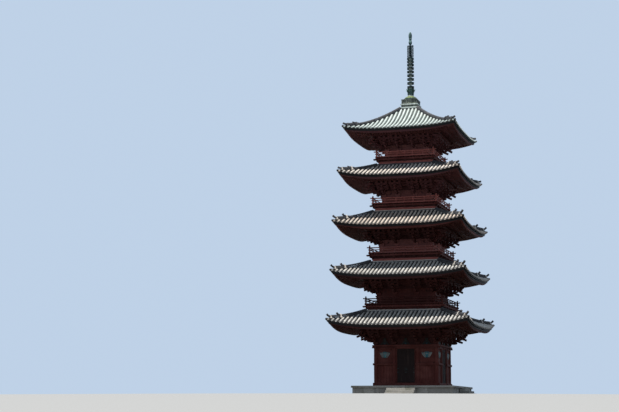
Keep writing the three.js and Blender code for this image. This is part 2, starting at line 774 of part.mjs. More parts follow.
function flame() {
  const mast = lathe([
    [0, FLAME_BOTTOM_Z - MAST_BELOW_FLAME],
    [MAST_RADIUS, FLAME_BOTTOM_Z - MAST_BELOW_FLAME],
    [MAST_RADIUS * 0.8, FLAME_TOP_Z + MAST_ABOVE_FLAME],
    [0, FLAME_TOP_Z + MAST_ABOVE_FLAME],
  ], 8);
  const tall = FLAME_TOP_Z - FLAME_BOTTOM_Z;
  const plate = prism([
    [0, FLAME_BOTTOM_Z],
    [FLAME_REACH * 0.8, FLAME_BOTTOM_Z + 0.05 * tall],
    [FLAME_REACH, FLAME_BOTTOM_Z + 0.2 * tall],
    [FLAME_REACH, FLAME_BOTTOM_Z + 0.8 * tall],
    [FLAME_REACH * 0.7, FLAME_BOTTOM_Z + 0.95 * tall],
    [0, FLAME_TOP_Z],
  ], FLAME_THICK).translate(0, 0, -FLAME_THICK / 2).rotateX(Math.PI / 2);
  return geometryOf(join([mast, ...fourSides([plate])]));
}

function jewel() {
  return lathe([
    [0, FLAME_TOP_Z + MAST_ABOVE_FLAME],
    [MAST_RADIUS * 0.7, FLAME_TOP_Z + MAST_ABOVE_FLAME],
    [WHEEL_RADIUS, WHEEL_Z - 40],
    [WHEEL_RADIUS, WHEEL_Z + 40],
    [MAST_RADIUS * 0.7, WHEEL_Z + 130],
    [MAST_RADIUS * 0.7, JEWEL_Z - 130],
    [JEWEL_RADIUS, JEWEL_Z - 30],
    [JEWEL_RADIUS * 0.8, JEWEL_Z + 110],
    [JEWEL_RADIUS * 0.25, JEWEL_Z + 240],
    [0, TIP_Z],
  ], 8);
}

// Assembly

const sides = ['front', 'right', 'back', 'left'];

add('podium', podium(), looks.stone);
add('ground_floor', groundFloor(), looks.darkTimber);
sides.forEach((side, turn) => {
  const frame = new THREE.Group();
  frame.rotation.z = (turn * Math.PI) / 2;
  pagoda.add(frame);
  add(`${side}_steps`, steps(), looks.stone, frame);
  add(`${side}_doorway`, doorway(), looks.redTimber, frame);
  if (turn < 2) {
    add(`${side}_door_left`, doorLeaf(-1), looks.darkTimber, frame);
    add(`${side}_door_right`, doorLeaf(1), looks.darkTimber, frame);
  } else {
    add(`${side}_doors`, closedDoors(), looks.darkTimber, frame);
  }
  add(`${side}_corner_walls`, groundCorner(), looks.redTimber, frame);
});
add('head_beams', headBeams(), looks.redTimber);

STOREYS.forEach((storey, index) => {
  const name = index + 1;
  if (index > 0) {
    add(`balcony_${name}`, balcony(storey, STOREYS[index - 1]), looks.redTimber);
    add(`railing_${name}`, railing(storey), looks.redTimber);
    add(`walls_${name}`, upperWalls(storey), looks.redTimber);
  }
  add(`brackets_${name}`, brackets(storey), looks.darkTimber);
  add(`eaves_${name}`, eaves(storey), looks.darkTimber);
  add(`roof_${name}`, roof(storey), index < 2 ? looks.tile : looks.copper);
});

add('heart_pillar', heartPillar(), looks.darkTimber);
add('roban', roban(), looks.bronze);
add('dome_and_lotus', domeAndLotus(), looks.bronze);
add('nine_rings', nineRings(), looks.bronze);
add('flame', flame(), looks.bronze);
add('jewel', jewel(), looks.bronze);

export default pagoda;
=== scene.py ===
"""Finishes the five-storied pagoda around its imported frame: roof tiles and copper sheets, ridges,
rafters, brackets, balconies, railings, walls, doors, podium stones and the bronze spire.
Lengths are in metres. Shapes are made on the front side, which faces -Y, and turned to the rest."""

import json
import math
from collections import namedtuple

import bpy
import numpy as np
from bpy.props import FloatProperty, FloatVectorProperty, PointerProperty
from bpy.types import Operator, Panel, PropertyGroup
from mathutils import Euler, Matrix

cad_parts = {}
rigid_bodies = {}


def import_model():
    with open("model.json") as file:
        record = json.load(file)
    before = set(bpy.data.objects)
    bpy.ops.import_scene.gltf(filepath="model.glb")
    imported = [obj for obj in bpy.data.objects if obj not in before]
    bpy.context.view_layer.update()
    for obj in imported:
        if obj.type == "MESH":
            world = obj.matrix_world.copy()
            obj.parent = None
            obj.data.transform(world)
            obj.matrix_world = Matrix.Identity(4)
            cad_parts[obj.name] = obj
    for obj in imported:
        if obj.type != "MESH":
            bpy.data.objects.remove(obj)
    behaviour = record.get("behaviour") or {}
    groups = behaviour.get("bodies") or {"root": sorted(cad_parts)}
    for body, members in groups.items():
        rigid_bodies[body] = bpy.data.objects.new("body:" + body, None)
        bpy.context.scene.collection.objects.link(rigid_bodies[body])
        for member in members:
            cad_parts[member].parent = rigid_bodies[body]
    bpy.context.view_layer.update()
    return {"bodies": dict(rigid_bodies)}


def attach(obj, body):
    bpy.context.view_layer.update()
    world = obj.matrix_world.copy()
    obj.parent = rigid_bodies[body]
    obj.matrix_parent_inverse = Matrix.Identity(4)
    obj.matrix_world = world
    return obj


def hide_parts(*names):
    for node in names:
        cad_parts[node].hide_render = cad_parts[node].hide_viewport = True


bl_info = {
    "name": "Five-storied Pagoda",
    "version": (1, 0, 0),
    "blender": (4, 5, 0),
    "location": "View3D > Sidebar > Pagoda",
    "description": "Tiles, timberwork, stonework and spire of a five-storied pagoda",
    "category": "Object",
}

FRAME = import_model()

# The storeys from the ground up, with the sizes that the frame was built to. body: wall columns,
# eave: roof edge, waist: where the next storey's waist meets the roof, edge: underside of the roof
# edge at mid side, top: roof skin at the waist, sag: hollow of the slope, cover: depth of tiles and
# boards, lift: rise of the corners, curl: how soon it dies out up the slope, floor and post:
# balcony floor and corner post.
Storey = namedtuple("Storey", "number body eave waist edge top sag cover lift curl floor post")
STOREYS = (
    Storey(1, 2.53, 5.50, 2.86, 5.27, 6.65, 0.08, 0.20, 0.47, 2.2, None, None),
    Storey(2, 2.33, 5.25, 2.58, 9.08, 10.45, 0.08, 0.20, 0.42, 2.2, 7.12, 2.99),
    Storey(3, 2.12, 5.13, 2.40, 12.92, 14.43, 0.08, 0.17, 0.42, 2.2, 11.10, 2.74),
    Storey(4, 1.93, 4.81, 2.16, 16.83, 18.15, 0.08, 0.17, 0.45, 2.2, 15.01, 2.52),
    Storey(5, 1.73, 4.49, 0.62, 20.51, 22.97, 0.50, 0.17, 0.32, 4.0, 18.73, 2.27),
)
TILED = (1, 2)
SIDES = ("front", "right", "back", "left")
DOOR_SHARE = 0.39
LIFT_ALONG_EAVE = 3.2

# Finish of the timber by storey: lighter copies of the red paint are painted light, where more light reaches
# a part, and darker copies painted shade.
WALL_PAINTED_LIGHT = {2: "red_timber", 3: "high_painted_light_timber", 4: "mid_painted_light_timber", 5: "high_painted_light_timber"}
WAIST_PAINTED_LIGHT = {2: "red_timber", 3: "mid_painted_light_timber", 4: "mid_painted_light_timber", 5: "mid_painted_light_timber"}
RAIL_PAINTED_LIGHT = {2: "dark_timber", 3: "low_painted_light_timber", 4: "mid_painted_light_timber", 5: "mid_painted_light_timber"}
FEET_PAINTED_LIGHT = {
    1: "dark_timber", 2: "red_timber", 3: "low_painted_light_timber", 4: "low_painted_light_timber", 5: "low_painted_light_timber",
}
# Under the eaves and on the edge boards the darker paint is painted shade, less dark on the upper storeys.
EAVES_PAINTED_SHADE = {
    1: "dark_timber", 2: "dark_timber", 3: "dark_timber", 4: "upper_shade_timber", 5: "upper_shade_timber",
}
EDGE_PAINTED_SHADE = {
    1: "dark_timber", 2: "dark_timber", 3: "red_timber", 4: "upper_shade_timber", 5: "upper_shade_timber",
}

# Roof covering under the skin: how deep the ribs, the boards and the hollow between the ribs lie,
# how far each pan laps over the next, and the courses of a hip ridge
Covering = namedtuple("Covering", "rib_sink deck_sink hollow lap ridge_courses")
TILE_COVERING = Covering(0.05, 0.12, 0.03, 0.016, 3)
SHEET_COVERING = Covering(0.045, 0.105, 0.02, 0.008, 2)
PAN_SINK = 0.05
PAN_THICK = 0.016
HIP_TILE = 0.26

# Eaves and brackets
BOARD_BACK = 0.21
BOARD_DROP = 0.21
BOARD_OVERLAP = 0.13
BOARD_NARROWS = 0.07
TILE_BOARD_LOW = 0.075
CORNER_RISE = 0.12
FLYING_REACH = 0.85
FLYING_SLOPE = 0.20
BASE_SLOPE = 0.35
TIER_STEP = 0.13
FLYING_DEEP = 0.10
BASE_DEEP = 0.11
BRACKET_DROP = 1.25
BRACKET_STEP = 0.30
BRACKET_TALL = 1.04
ARM_OUT = (0.47, 0.77, 1.07)
ARM_THICK = 0.115
WALL_ARM_THICK = 0.135
CROSSING_SHARE = 0.97
PURLIN_HALF = 0.09
PURLIN_DEEP = 0.20
RIDGE_END_BACK = 0.94
TAIL_END_BACK = 0.34

# Ground storey
PODIUM_TOP = 0.90
PODIUM_HALF = 3.85
COPING_OUT = 0.09
COPING_THICK = 0.15
STONE_JOINT = 0.004
STEP_COUNT = 4
STEP_TREAD = 0.32
STEP_HALF = 1.10
SILL_TOP = 1.14
FLOOR_TOP = 1.08
COLUMN_RADIUS = 0.17
COLUMN_LINE = 2.36
DOOR_COLUMN = DOOR_SHARE * COLUMN_LINE
MID_RAIL = 2.55
DOOR_HEAD = 3.72
HEAD_BEAM = 3.78
PLATE = 3.91
JAMB = 0.06
LEAF_LINE = COLUMN_LINE + 0.045
LEAF_THICK = 0.05
LEAF_EDGE = DOOR_COLUMN - COLUMN_RADIUS - JAMB - 0.014
FAN_LOW = 3.02
FAN_TALL = 0.50
FAN_FOOT = 0.20
FAN_MOUTH = 0.40
LEAF_LOW = SILL_TOP + 0.012
LEAF_HIGH = DOOR_HEAD - 0.012
PIVOT_IN = 0.035
SEAT_GAP = 0.0003
STOP_CLEAR = 0.09
STOP_THICK = 0.014
STOP_DEEP = 0.035

# Balconies and railings
WAIST_BOARD = 0.21
FLOOR_BOARD_PITCH = 0.215
FLOOR_THICK = 0.11
FLOOR_LIP = 0.09
NOSE_REACH = 0.23
BEAM_DEEP = 0.12
UPPER_COLUMN = 0.13
POST_HEIGHT = 0.63
TOP_RAIL = 0.43
MID_RAIL_UP = 0.27
MID_POST_SHARE = 0.27
SMALL_POST_SHARE = 0.62

# Heart pillar and spire
PILLAR_HALF = 0.23
PILLAR_HOLE = 0.235
ROBAN_HALF = 0.63
ROBAN_BASE_HALF = 0.70
ROBAN_BOX = 23.28
ROBAN_TOP = 23.68
DOME_RADIUS = 0.53
LOTUS = 24.18
LOTUS_TOP = 24.64
FIRST_RING = 24.77
LAST_RING = 27.14
RING_CROWDING = 0.16
RING_COUNT = 9
RING_RADIUS = 0.285
FLAME_LOW = 27.26
FLAME_HIGH = 28.29
FLAME_REACH = 0.25
FLAME_TONGUES = 8
WHEEL = 28.48
JEWEL = 28.98
TIP = 29.40

AXIS = (0.0, 0.0, 0.0)
UP = np.array([0.0, 0.0, 1.0])
ALONG = np.array([1.0, 0.0, 0.0])
OUT = np.array([0.0, -1.0, 0.0])
DIAGONAL = np.array([1.0, -1.0, 0.0]) / math.sqrt(2)
ACROSS_DIAGONAL = np.array([1.0, 1.0, 0.0]) / math.sqrt(2)


# Roof and eave surfaces


def corner_lift(storey, along, inward):
    """Rise of the eave: the share along the side to a power, dying out up the slope."""
    slope = np.clip(1 - inward, 0, 1) ** storey.curl
    return storey.lift * np.abs(along) ** LIFT_ALONG_EAVE * slope


def inward_share(storey, reach):
    """0 at the roof edge and 1 at the waist."""
    return (storey.eave - reach) / (storey.eave - storey.waist)


def roof_height(storey, inward):
    """Height of the skin at mid side: a straight slope less a parabola for its hollow."""
    low = storey.edge + storey.cover
    return low + (storey.top - low) * (inward - storey.sag * inward * (1 - inward))


def roof_skin(storey, x, reach):
    """Height of the roof skin at x along a side and a distance reach from the middle."""
    inward = inward_share(storey, reach)
    return roof_height(storey, inward) + corner_lift(storey, x / reach, inward)


def board_edge(storey):
    """Reach of the edge boards, a little behind the edge of the roof."""
    return storey.eave - BOARD_BACK


def flying_under(storey, reach):
    """Underside of the flying rafters at mid side: a line falling outwards to the edge."""
    return storey.edge - BOARD_DROP + (board_edge(storey) - reach) * FLYING_SLOPE


def base_under(storey, reach):
    """Underside of the base rafters at mid side: a steeper line, a step below the flying ones."""
    split = board_edge(storey) - FLYING_REACH
    return flying_under(storey, split) - TIER_STEP + (split - reach) * BASE_SLOPE


def purlin_reach(storey):
    """The purlin lies three steps of the brackets out from the wall."""
    return storey.body + 3 * BRACKET_STEP


def purlin_top(storey):
    """The base rafters' underside over the purlin's outer face."""
    return base_under(storey, purlin_reach(storey) + PURLIN_HALF)


# Shapes. A shape is a grid of points: rows run along it, columns go round its section.


def unit(vectors):
    """Each vector over its own length."""
    return vectors / np.linalg.norm(vectors, axis=-1, keepdims=True)


def turned(points, quarters):
    """The points turned about the middle of the plan, from the front towards the right."""
    x, y, z = points[..., 0], points[..., 1], points[..., 2]
    for _ in range(quarters % 4):
        x, y = -y, x
    return np.stack([x, y, z], -1)


def four_sides(shapes):
    """Shapes on the front side, repeated on all four."""
    return np.concatenate([turned(shapes, quarter) for quarter in range(4)])


def points_of(x, y, z):
    """Coordinates of any mix of numbers and arrays as one array of points."""
    return np.stack(np.broadcast_arrays(x, y, z), -1).astype(float)


def rectangle(width, depth, chamfer=0.0):
    """A section: a rectangle about the path, with its corners cut off by the chamfer."""
    w, d, c = width / 2, depth / 2, chamfer
    if c == 0:
        return np.array([[-w, -d], [w, -d], [w, d], [-w, d]])
    return np.array([
        [c - w, -d], [w - c, -d], [w, c - d], [w, d - c],
        [w - c, d], [c - w, d], [-w, d - c], [-w, c - d],
    ])


def circle(radius, sides):
    """A section: points at equal angles round the path."""
    angle = np.arange(sides) * 2 * math.pi / sides
    return radius * np.stack([np.cos(angle), np.sin(angle)], -1)


def half_circle(radius, sides):
    """A section: an arch of equal angles from side to side, closed by its chord."""
    angle = np.linspace(0, math.pi, sides + 1)
    return radius * np.stack([np.cos(angle), np.sin(angle)], -1)


def sweep(paths, section, scale=None):
    """The section carried along each path, square to it, grown row by row by the scale."""
    tangent = unit(np.gradient(paths, axis=1))
    side = unit(np.cross(tangent, UP))
    upward = np.cross(side, tangent)
    rows = np.ones(paths.shape[1]) if scale is None else np.asarray(scale, float)
    a = (rows[:, None] * section[:, 0])[None, :, :, None]
    b = (rows[:, None] * section[:, 1])[None, :, :, None]
    return paths[:, :, None] + side[:, :, None] * a + upward[:, :, None] * b


def bars(start, end, width, depth, chamfer=0.0):
    """Straight bars between the points of two arrays, none of them upright."""
    start, end = np.broadcast_arrays(np.atleast_2d(start), np.atleast_2d(end))
    return sweep(np.stack([start, end], 1).astype(float), rectangle(width, depth, chamfer))


def turnings(centres, profile, sides):
    """Upright turned shapes: a profile of (radius, height) points spun about each centre."""
    radius, height = np.array(profile, float).T
    angle = np.arange(sides) * 2 * math.pi / sides
    x = radius[:, None] * np.cos(angle)
    y = radius[:, None] * np.sin(angle)
    ring = points_of(x, y, height[:, None])
    return np.atleast_2d(centres)[:, None, None].astype(float) + ring


def square_posts(centres, half, low, high, chamfer=0.008):
    """Upright posts on a square plan with chamfered edges, at the centres' plan positions."""
    section = rectangle(2 * half, 2 * half, chamfer)
    rows = np.array([low, high], float)
    ring = points_of(section[:, 0], section[:, 1], rows[:, None])
    flat = np.atleast_2d(centres).astype(float) * [1, 1, 0]
    return flat[:, None, None] + ring


def plates(outline, origins, across, upward, thick):
    """Flat plates: an outline in the plane of two directions, thickened square to it."""
    outline = np.array(outline, float)
    normal = np.cross(across, upward)
    flat = outline[:, 0, None] * across + outline[:, 1, None] * upward
    layers = flat[None] + np.array([-thick / 2, thick / 2])[:, None, None] * normal
    return np.atleast_2d(origins)[:, None, None].astype(float) + layers[None]


def boxes(low, high, chamfer=0.0):
    """Boxes lying along X between the corners of two arrays."""
    low, high = np.atleast_2d(low).astype(float), np.atleast_2d(high).astype(float)
    shapes = []
    for start, end, middle, size in zip(low, high, (low + high) / 2, high - low):
        y, z = rectangle(size[1], size[2], chamfer).T
        x = np.array([start[0], end[0]])[:, None]
        shapes.append(points_of(x, middle[1] + y, middle[2] + z))
    return np.array(shapes)


def bearing_blocks(bottoms, out, across, half, height):
    """Bracket blocks: square above, drawn in below with a straight splay."""
    rows = ((0.62, 0.0), (1.0, 0.42), (1.0, 1.0))
    corners = np.array([[-1, -1], [1, -1], [1, 1], [-1, 1]], float)
    ring = [
        half * share * (corners[:, :1] * across + corners[:, 1:] * out) + UP * height * level
        for share, level in rows
    ]
    return np.atleast_2d(bottoms)[:, None, None].astype(float) + np.array(ring)[None]


def side_stations():
    """Shares along a side, sines of equal angles from -1 up to but without 1, so that they stand
    closer together near the corners."""
    return np.sin(np.linspace(-math.pi / 2, math.pi / 2, 17))[:-1]


def eave_lift(storey, along, inward):
    """Rise of the timbers under the eave: the roof's own, and a little more to thin the corner."""
    return (1 + CORNER_RISE / storey.lift) * corner_lift(storey, along, inward)


def board_lift(storey, along, inward):
    """Rise of the edge board's lower side, which narrows it to the rafters' height at the corner."""
    return (1 + (CORNER_RISE + BOARD_NARROWS) / storey.lift) * corner_lift(storey, along, inward)


def roof_ring(storey, section, lift=corner_lift):
    """A section of (reach, height, lifted) points carried round all four sides, lifted with
    the eave at the corners."""
    reach, height, lifted = np.array(section, float).T
    along = side_stations()[:, None]
    z = height + lifted * lift(storey, along, inward_share(storey, reach))
    return four_sides(points_of(along * reach, -reach, z))[None]


def square_ring(inner, outer, low, high):
    """A level square frame between two half-widths, mitred at the corners."""
    section = np.array([[inner, low], [outer, low], [outer, high], [inner, high]])
    corner = points_of(section[:, 0], -section[:, 0], section[:, 1])
    return np.stack([turned(corner, quarter) for quarter in range(4)])[None]


def grid_faces(rows, cols, ring):
    """Quads between neighbouring points, closed round the section and, in a ring, end to end."""
    row = np.arange(rows if ring else rows - 1)[:, None]
    col = np.arange(cols)
    here, there = row * cols, (row + 1) % rows * cols
    following = (col + 1) % cols
    return np.stack([here + col, here + following, there + following, there + col], -1).reshape(-1, 4)


def signed_volumes(points, face_sets):
    """Six times the volume of each shape, from fans of triangles over its faces."""
    total = np.zeros(len(points))
    for faces in face_sets:
        first = points[:, faces[:, 0]]
        for k in range(1, faces.shape[1] - 1):
            area = np.cross(points[:, faces[:, k]], points[:, faces[:, k + 1]])
            total += np.einsum("nfi,nfi->n", first, area)
    return total


class Heap:
    """The shapes of one piece. Each point also gets its place along and round its shape, for the
    grain, and its shape's own tone."""

    def __init__(self, seed):
        self.random = np.random.default_rng(seed)
        self.points, self.faces, self.grain = [], [], []
        self.total = 0

    def add(self, shapes, ring=False):
        """Adds shapes with closed ends, or rings, and turns their faces outwards."""
        count, rows, cols, _ = shapes.shape
        flat = shapes.reshape(count, rows * cols, 3)
        sets = [grid_faces(rows, cols, ring)]
        if not ring:
            end = np.arange(cols)[None]
            sets += [end[:, ::-1], end + (rows - 1) * cols]
        inside_out = signed_volumes(flat - flat.mean(1, keepdims=True), sets) < 0
        start = self.total + np.arange(count)[:, None, None] * rows * cols
        for faces in sets:
            facing = np.where(inside_out[:, None, None], faces[None, :, ::-1], faces[None])
            self.faces.append((facing + start).reshape(-1, faces.shape[1]))
        self.points.append(flat.reshape(-1, 3))
        self.grain.append(self.grain_of(shapes).reshape(-1, 3))
        self.total += count * rows * cols

    def grain_of(self, shapes):
        """(length along, length round, tone), each shape starting at a place of its own."""
        count, rows, cols, _ = shapes.shape
        middle = shapes.mean(2)
        steps = np.linalg.norm(np.diff(middle, axis=1), axis=-1).cumsum(1)
        round_steps = np.linalg.norm(np.diff(shapes, axis=2), axis=-1).cumsum(2)
        grain = np.zeros((count, rows, cols, 3))
        grain[:, 1:, :, 0] = steps[..., None]
        grain[:, :, 1:, 1] = round_steps
        grain[..., :2] += self.random.random((count, 1, 1, 2)) * 9
        grain[..., 2] = self.random.random((count, 1, 1))
        return grain

    def piece(self, name, material, slot, replaces=(), body="root"):
        """Makes the mesh object, riding on its body."""
        points = np.concatenate(self.points).astype(np.float32)
        corners = np.concatenate([faces.ravel() for faces in self.faces]).astype(np.int32)
        sizes = np.concatenate([np.full(len(f), f.shape[1]) for f in self.faces])
        mesh = bpy.data.meshes.new(name)
        mesh.vertices.add(len(points))
        mesh.vertices.foreach_set("co", points.ravel())
        mesh.loops.add(len(corners))
        mesh.loops.foreach_set("vertex_index", corners)
        mesh.polygons.add(len(sizes))
        mesh.polygons.foreach_set("loop_start", (np.cumsum(sizes) - sizes).astype(np.int32))
        mesh.update(calc_edges=True)
        grain = mesh.attributes.new("grain", "FLOAT_VECTOR", "POINT")
        grain.data.foreach_set("vector", np.concatenate(self.grain).astype(np.float32).ravel())
        mesh.validate()
        mesh.shade_smooth()
        mesh.set_sharp_from_angle(angle=math.radians(35))
        mesh.materials.append(material)
        piece = bpy.data.objects.new(name, mesh)
        bpy.context.scene.collection.objects.link(piece)
        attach(piece, body)
        if replaces:
            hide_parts(*replaces)
        return piece


# Finishes


def node(tree, kind, **values):
    """A shader node with its inputs set by name."""
    made = tree.nodes.new(kind)
    for name, value in values.items():
        made.inputs[name.replace("_", " ")].default_value = value
    return made


def mixed(tree, factor, first, second):
    """A colour between two, each of them a colour or an output of another node."""
    made = tree.nodes.new("ShaderNodeMix")
    made.data_type = "RGBA"
    for socket, value in ((made.inputs[0], factor), (made.inputs[6], first), (made.inputs[7], second)):
        if isinstance(value, bpy.types.NodeSocket):
            tree.links.new(value, socket)
        else:
            socket.default_value = value if isinstance(value, float) else (*value, 1.0)
    return made.outputs[2]


def stepped(tree, value, low, high):
    """A mask that rises from 0 to 1 between two values of an output."""
    made = tree.nodes.new("ShaderNodeMapRange")
    made.interpolation_type = "SMOOTHSTEP"
    tree.links.new(value, made.inputs["Value"])
    made.inputs["From Min"].default_value = low
    made.inputs["From Max"].default_value = high
    return made.outputs["Result"]


def multiplied(tree, first, second):
    """An output times another output or a number."""
    made = tree.nodes.new("ShaderNodeMath")
    made.operation = "MULTIPLY"
    tree.links.new(first, made.inputs[0])
    if isinstance(second, bpy.types.NodeSocket):
        tree.links.new(second, made.inputs[1])
    else:
        made.inputs[1].default_value = second
    return made.outputs[0]


def new_group(name, inputs, outputs):
    """A node group with its named sockets, and its two end nodes."""
    group = bpy.data.node_groups.new(name, "ShaderNodeTree")
    for socket, kind in inputs:
        group.interface.new_socket(socket, in_out="INPUT", socket_type=kind)
    for socket, kind in outputs:
        group.interface.new_socket(socket, in_out="OUTPUT", socket_type=kind)
    return group, group.nodes.new("NodeGroupInput"), group.nodes.new("NodeGroupOutput")


def stretched_noise(tree, vector, stretch, detail):
    """Noise over a vector that was first stretched on each axis."""
    scale = tree.nodes.new("ShaderNodeVectorMath")
    scale.operation = "MULTIPLY"
    tree.links.new(vector, scale.inputs[0])
    scale.inputs[1].default_value = stretch
    noise = node(tree, "ShaderNodeTexNoise", Scale=1.0, Detail=detail, Roughness=0.55)
    tree.links.new(scale.outputs[0], noise.inputs["Vector"])
    return noise.outputs[0]


def grain_group():
    """Fibres drawn out along the grain, and the tone that each member has of its own."""
    group, start, end = new_group(
        "Pagoda Grain",
        [("Grain", "NodeSocketVector")],
        [("Fibre", "NodeSocketFloat"), ("Tone", "NodeSocketFloat")],
    )
    fibre = stretched_noise(group, start.outputs["Grain"], (1.6, 42.0, 61.0), 5.0)
    split = group.nodes.new("ShaderNodeSeparateXYZ")
    group.links.new(start.outputs["Grain"], split.inputs[0])
    group.links.new(fibre, end.inputs["Fibre"])
    group.links.new(split.outputs["Z"], end.inputs["Tone"])
    return group


def weather_group():
    """Broad patches, fine speckle and streaks that run down, over the place on the object."""
    group, start, end = new_group(
        "Pagoda Weather",
        [("Place", "NodeSocketVector")],
        [("Patches", "NodeSocketFloat"), ("Speckle", "NodeSocketFloat"), ("Streaks", "NodeSocketFloat")],
    )
    place = start.outputs["Place"]
    group.links.new(stretched_noise(group, place, (0.9, 0.9, 1.1), 4.0), end.inputs["Patches"])
    group.links.new(stretched_noise(group, place, (24.0, 24.0, 24.0), 3.0), end.inputs["Speckle"])
    group.links.new(stretched_noise(group, place, (9.0, 9.0, 0.8), 4.0), end.inputs["Streaks"])
    return group


def new_finish(name, roughness, metallic=0.0):
    """A material with the grain and weather groups set up, and its shader."""
    material = bpy.data.materials.new(name)
    material.use_nodes = True
    tree = material.node_tree
    shader = tree.nodes["Principled BSDF"]
    shader.inputs["Roughness"].default_value = roughness
    shader.inputs["Metallic"].default_value = metallic
    shader.inputs["Specular IOR Level"].default_value = 0.25
    attribute = tree.nodes.new("ShaderNodeAttribute")
    attribute.attribute_name = "grain"
    place = tree.nodes.new("ShaderNodeTexCoord")
    parts = {}
    for key, socket, source in (("Grain", "Grain", attribute.outputs["Vector"]),
                                ("Weather", "Place", place.outputs["Object"])):
        group = tree.nodes.new("ShaderNodeGroup")
        group.node_tree = bpy.data.node_groups["Pagoda " + key]
        tree.links.new(source, group.inputs[socket])
        parts.update({output.name: output for output in group.outputs})
    return material, tree, shader, parts


def set_bump(tree, shader, height, distance):
    """A bump of a real depth, following an output."""
    bump = node(tree, "ShaderNodeBump", Strength=0.6, Distance=distance)
    tree.links.new(height, bump.inputs["Height"])
    tree.links.new(bump.outputs[0], shader.inputs["Normal"])


def set_roughness(tree, shader, value, low, high):
    """Roughness between two values, following an output."""
    made = tree.nodes.new("ShaderNodeMapRange")
    tree.links.new(value, made.inputs["Value"])
    made.inputs["To Min"].default_value = low
    made.inputs["To Max"].default_value = high
    tree.links.new(made.outputs["Result"], shader.inputs["Roughness"])


def timber_finish(name, paint, fading_and_painted_light, bare, fade):
    """Painted timber: the paint fades in patches, wears off in streaks and shows its grain."""
    material, tree, shader, parts = new_finish(name, 0.7)
    patches = stepped(tree, parts["Patches"], 0.42, 0.68)
    colour = mixed(tree, multiplied(tree, patches, fade), paint, fading_and_painted_light)
    toned = mixed(tree, multiplied(tree, parts["Tone"], 0.35), colour, tuple(0.55 * c for c in paint))
    worn = stepped(tree, parts["Streaks"], 0.6, 0.8)
    streaked = mixed(tree, multiplied(tree, worn, 0.4), toned, bare)
    fibre = stepped(tree, parts["Fibre"], 0.35, 0.65)
    lines = mixed(tree, multiplied(tree, fibre, 0.3), streaked, tuple(0.35 * c for c in paint))
    tree.links.new(lines, shader.inputs["Base Color"])
    set_roughness(tree, shader, parts["Fibre"], 0.55, 0.85)
    set_bump(tree, shader, parts["Fibre"], 0.004)
    return material


def roofing_finish(name, light, dark, stain, stained):
    """Tile or copper sheet: its own tone for each tile, stains in patches and fine speckle."""
    material, tree, shader, parts = new_finish(name, 0.6)
    base = mixed(tree, parts["Tone"], light, dark)
    patches = stepped(tree, parts["Patches"], 0.45, 0.7)
    stains = mixed(tree, multiplied(tree, patches, stained), base, stain)
    speckle = stepped(tree, parts["Speckle"], 0.5, 0.75)
    fine = mixed(tree, multiplied(tree, speckle, 0.35), stains, tuple(0.5 * c for c in dark))
    tree.links.new(fine, shader.inputs["Base Color"])
    set_roughness(tree, shader, parts["Speckle"], 0.4, 0.75)
    set_bump(tree, shader, parts["Speckle"], 0.005)
    return material


def stone_finish(name, light, dark, moss):
    """Dressed stone: each block its own tone, speckled, with damp and moss in patches."""
    material, tree, shader, parts = new_finish(name, 0.85)
    base = mixed(tree, parts["Tone"], light, dark)
    speckle = stepped(tree, parts["Speckle"], 0.4, 0.65)
    grained = mixed(tree, multiplied(tree, speckle, 0.45), base, tuple(0.6 * c for c in dark))
    patches = stepped(tree, parts["Patches"], 0.5, 0.72)
    damp = mixed(tree, multiplied(tree, patches, 0.5), grained, moss)
    tree.links.new(damp, shader.inputs["Base Color"])
    set_bump(tree, shader, parts["Speckle"], 0.006)
    return material


def bronze_finish(name, metal, verdigris, moss, mossy):
    """Old bronze: dark metal under verdigris streaks, with moss where the surface faces up."""
    material, tree, shader, parts = new_finish(name, 0.6, 0.35)
    streaks = stepped(tree, parts["Streaks"], 0.38, 0.66)
    coated = mixed(tree, streaks, metal, verdigris)
    geometry = tree.nodes.new("ShaderNodeNewGeometry")
    split = tree.nodes.new("ShaderNodeSeparateXYZ")
    tree.links.new(geometry.outputs["Normal"], split.inputs[0])
    facing_up = stepped(tree, split.outputs["Z"], 0.25, 0.85)
    patches = stepped(tree, parts["Patches"], 0.3, 0.6)
    growth = multiplied(tree, multiplied(tree, facing_up, patches), mossy)
    tree.links.new(mixed(tree, growth, coated, moss), shader.inputs["Base Color"])
    set_roughness(tree, shader, parts["Speckle"], 0.45, 0.8)
    set_bump(tree, shader, parts["Speckle"], 0.006)
    return material


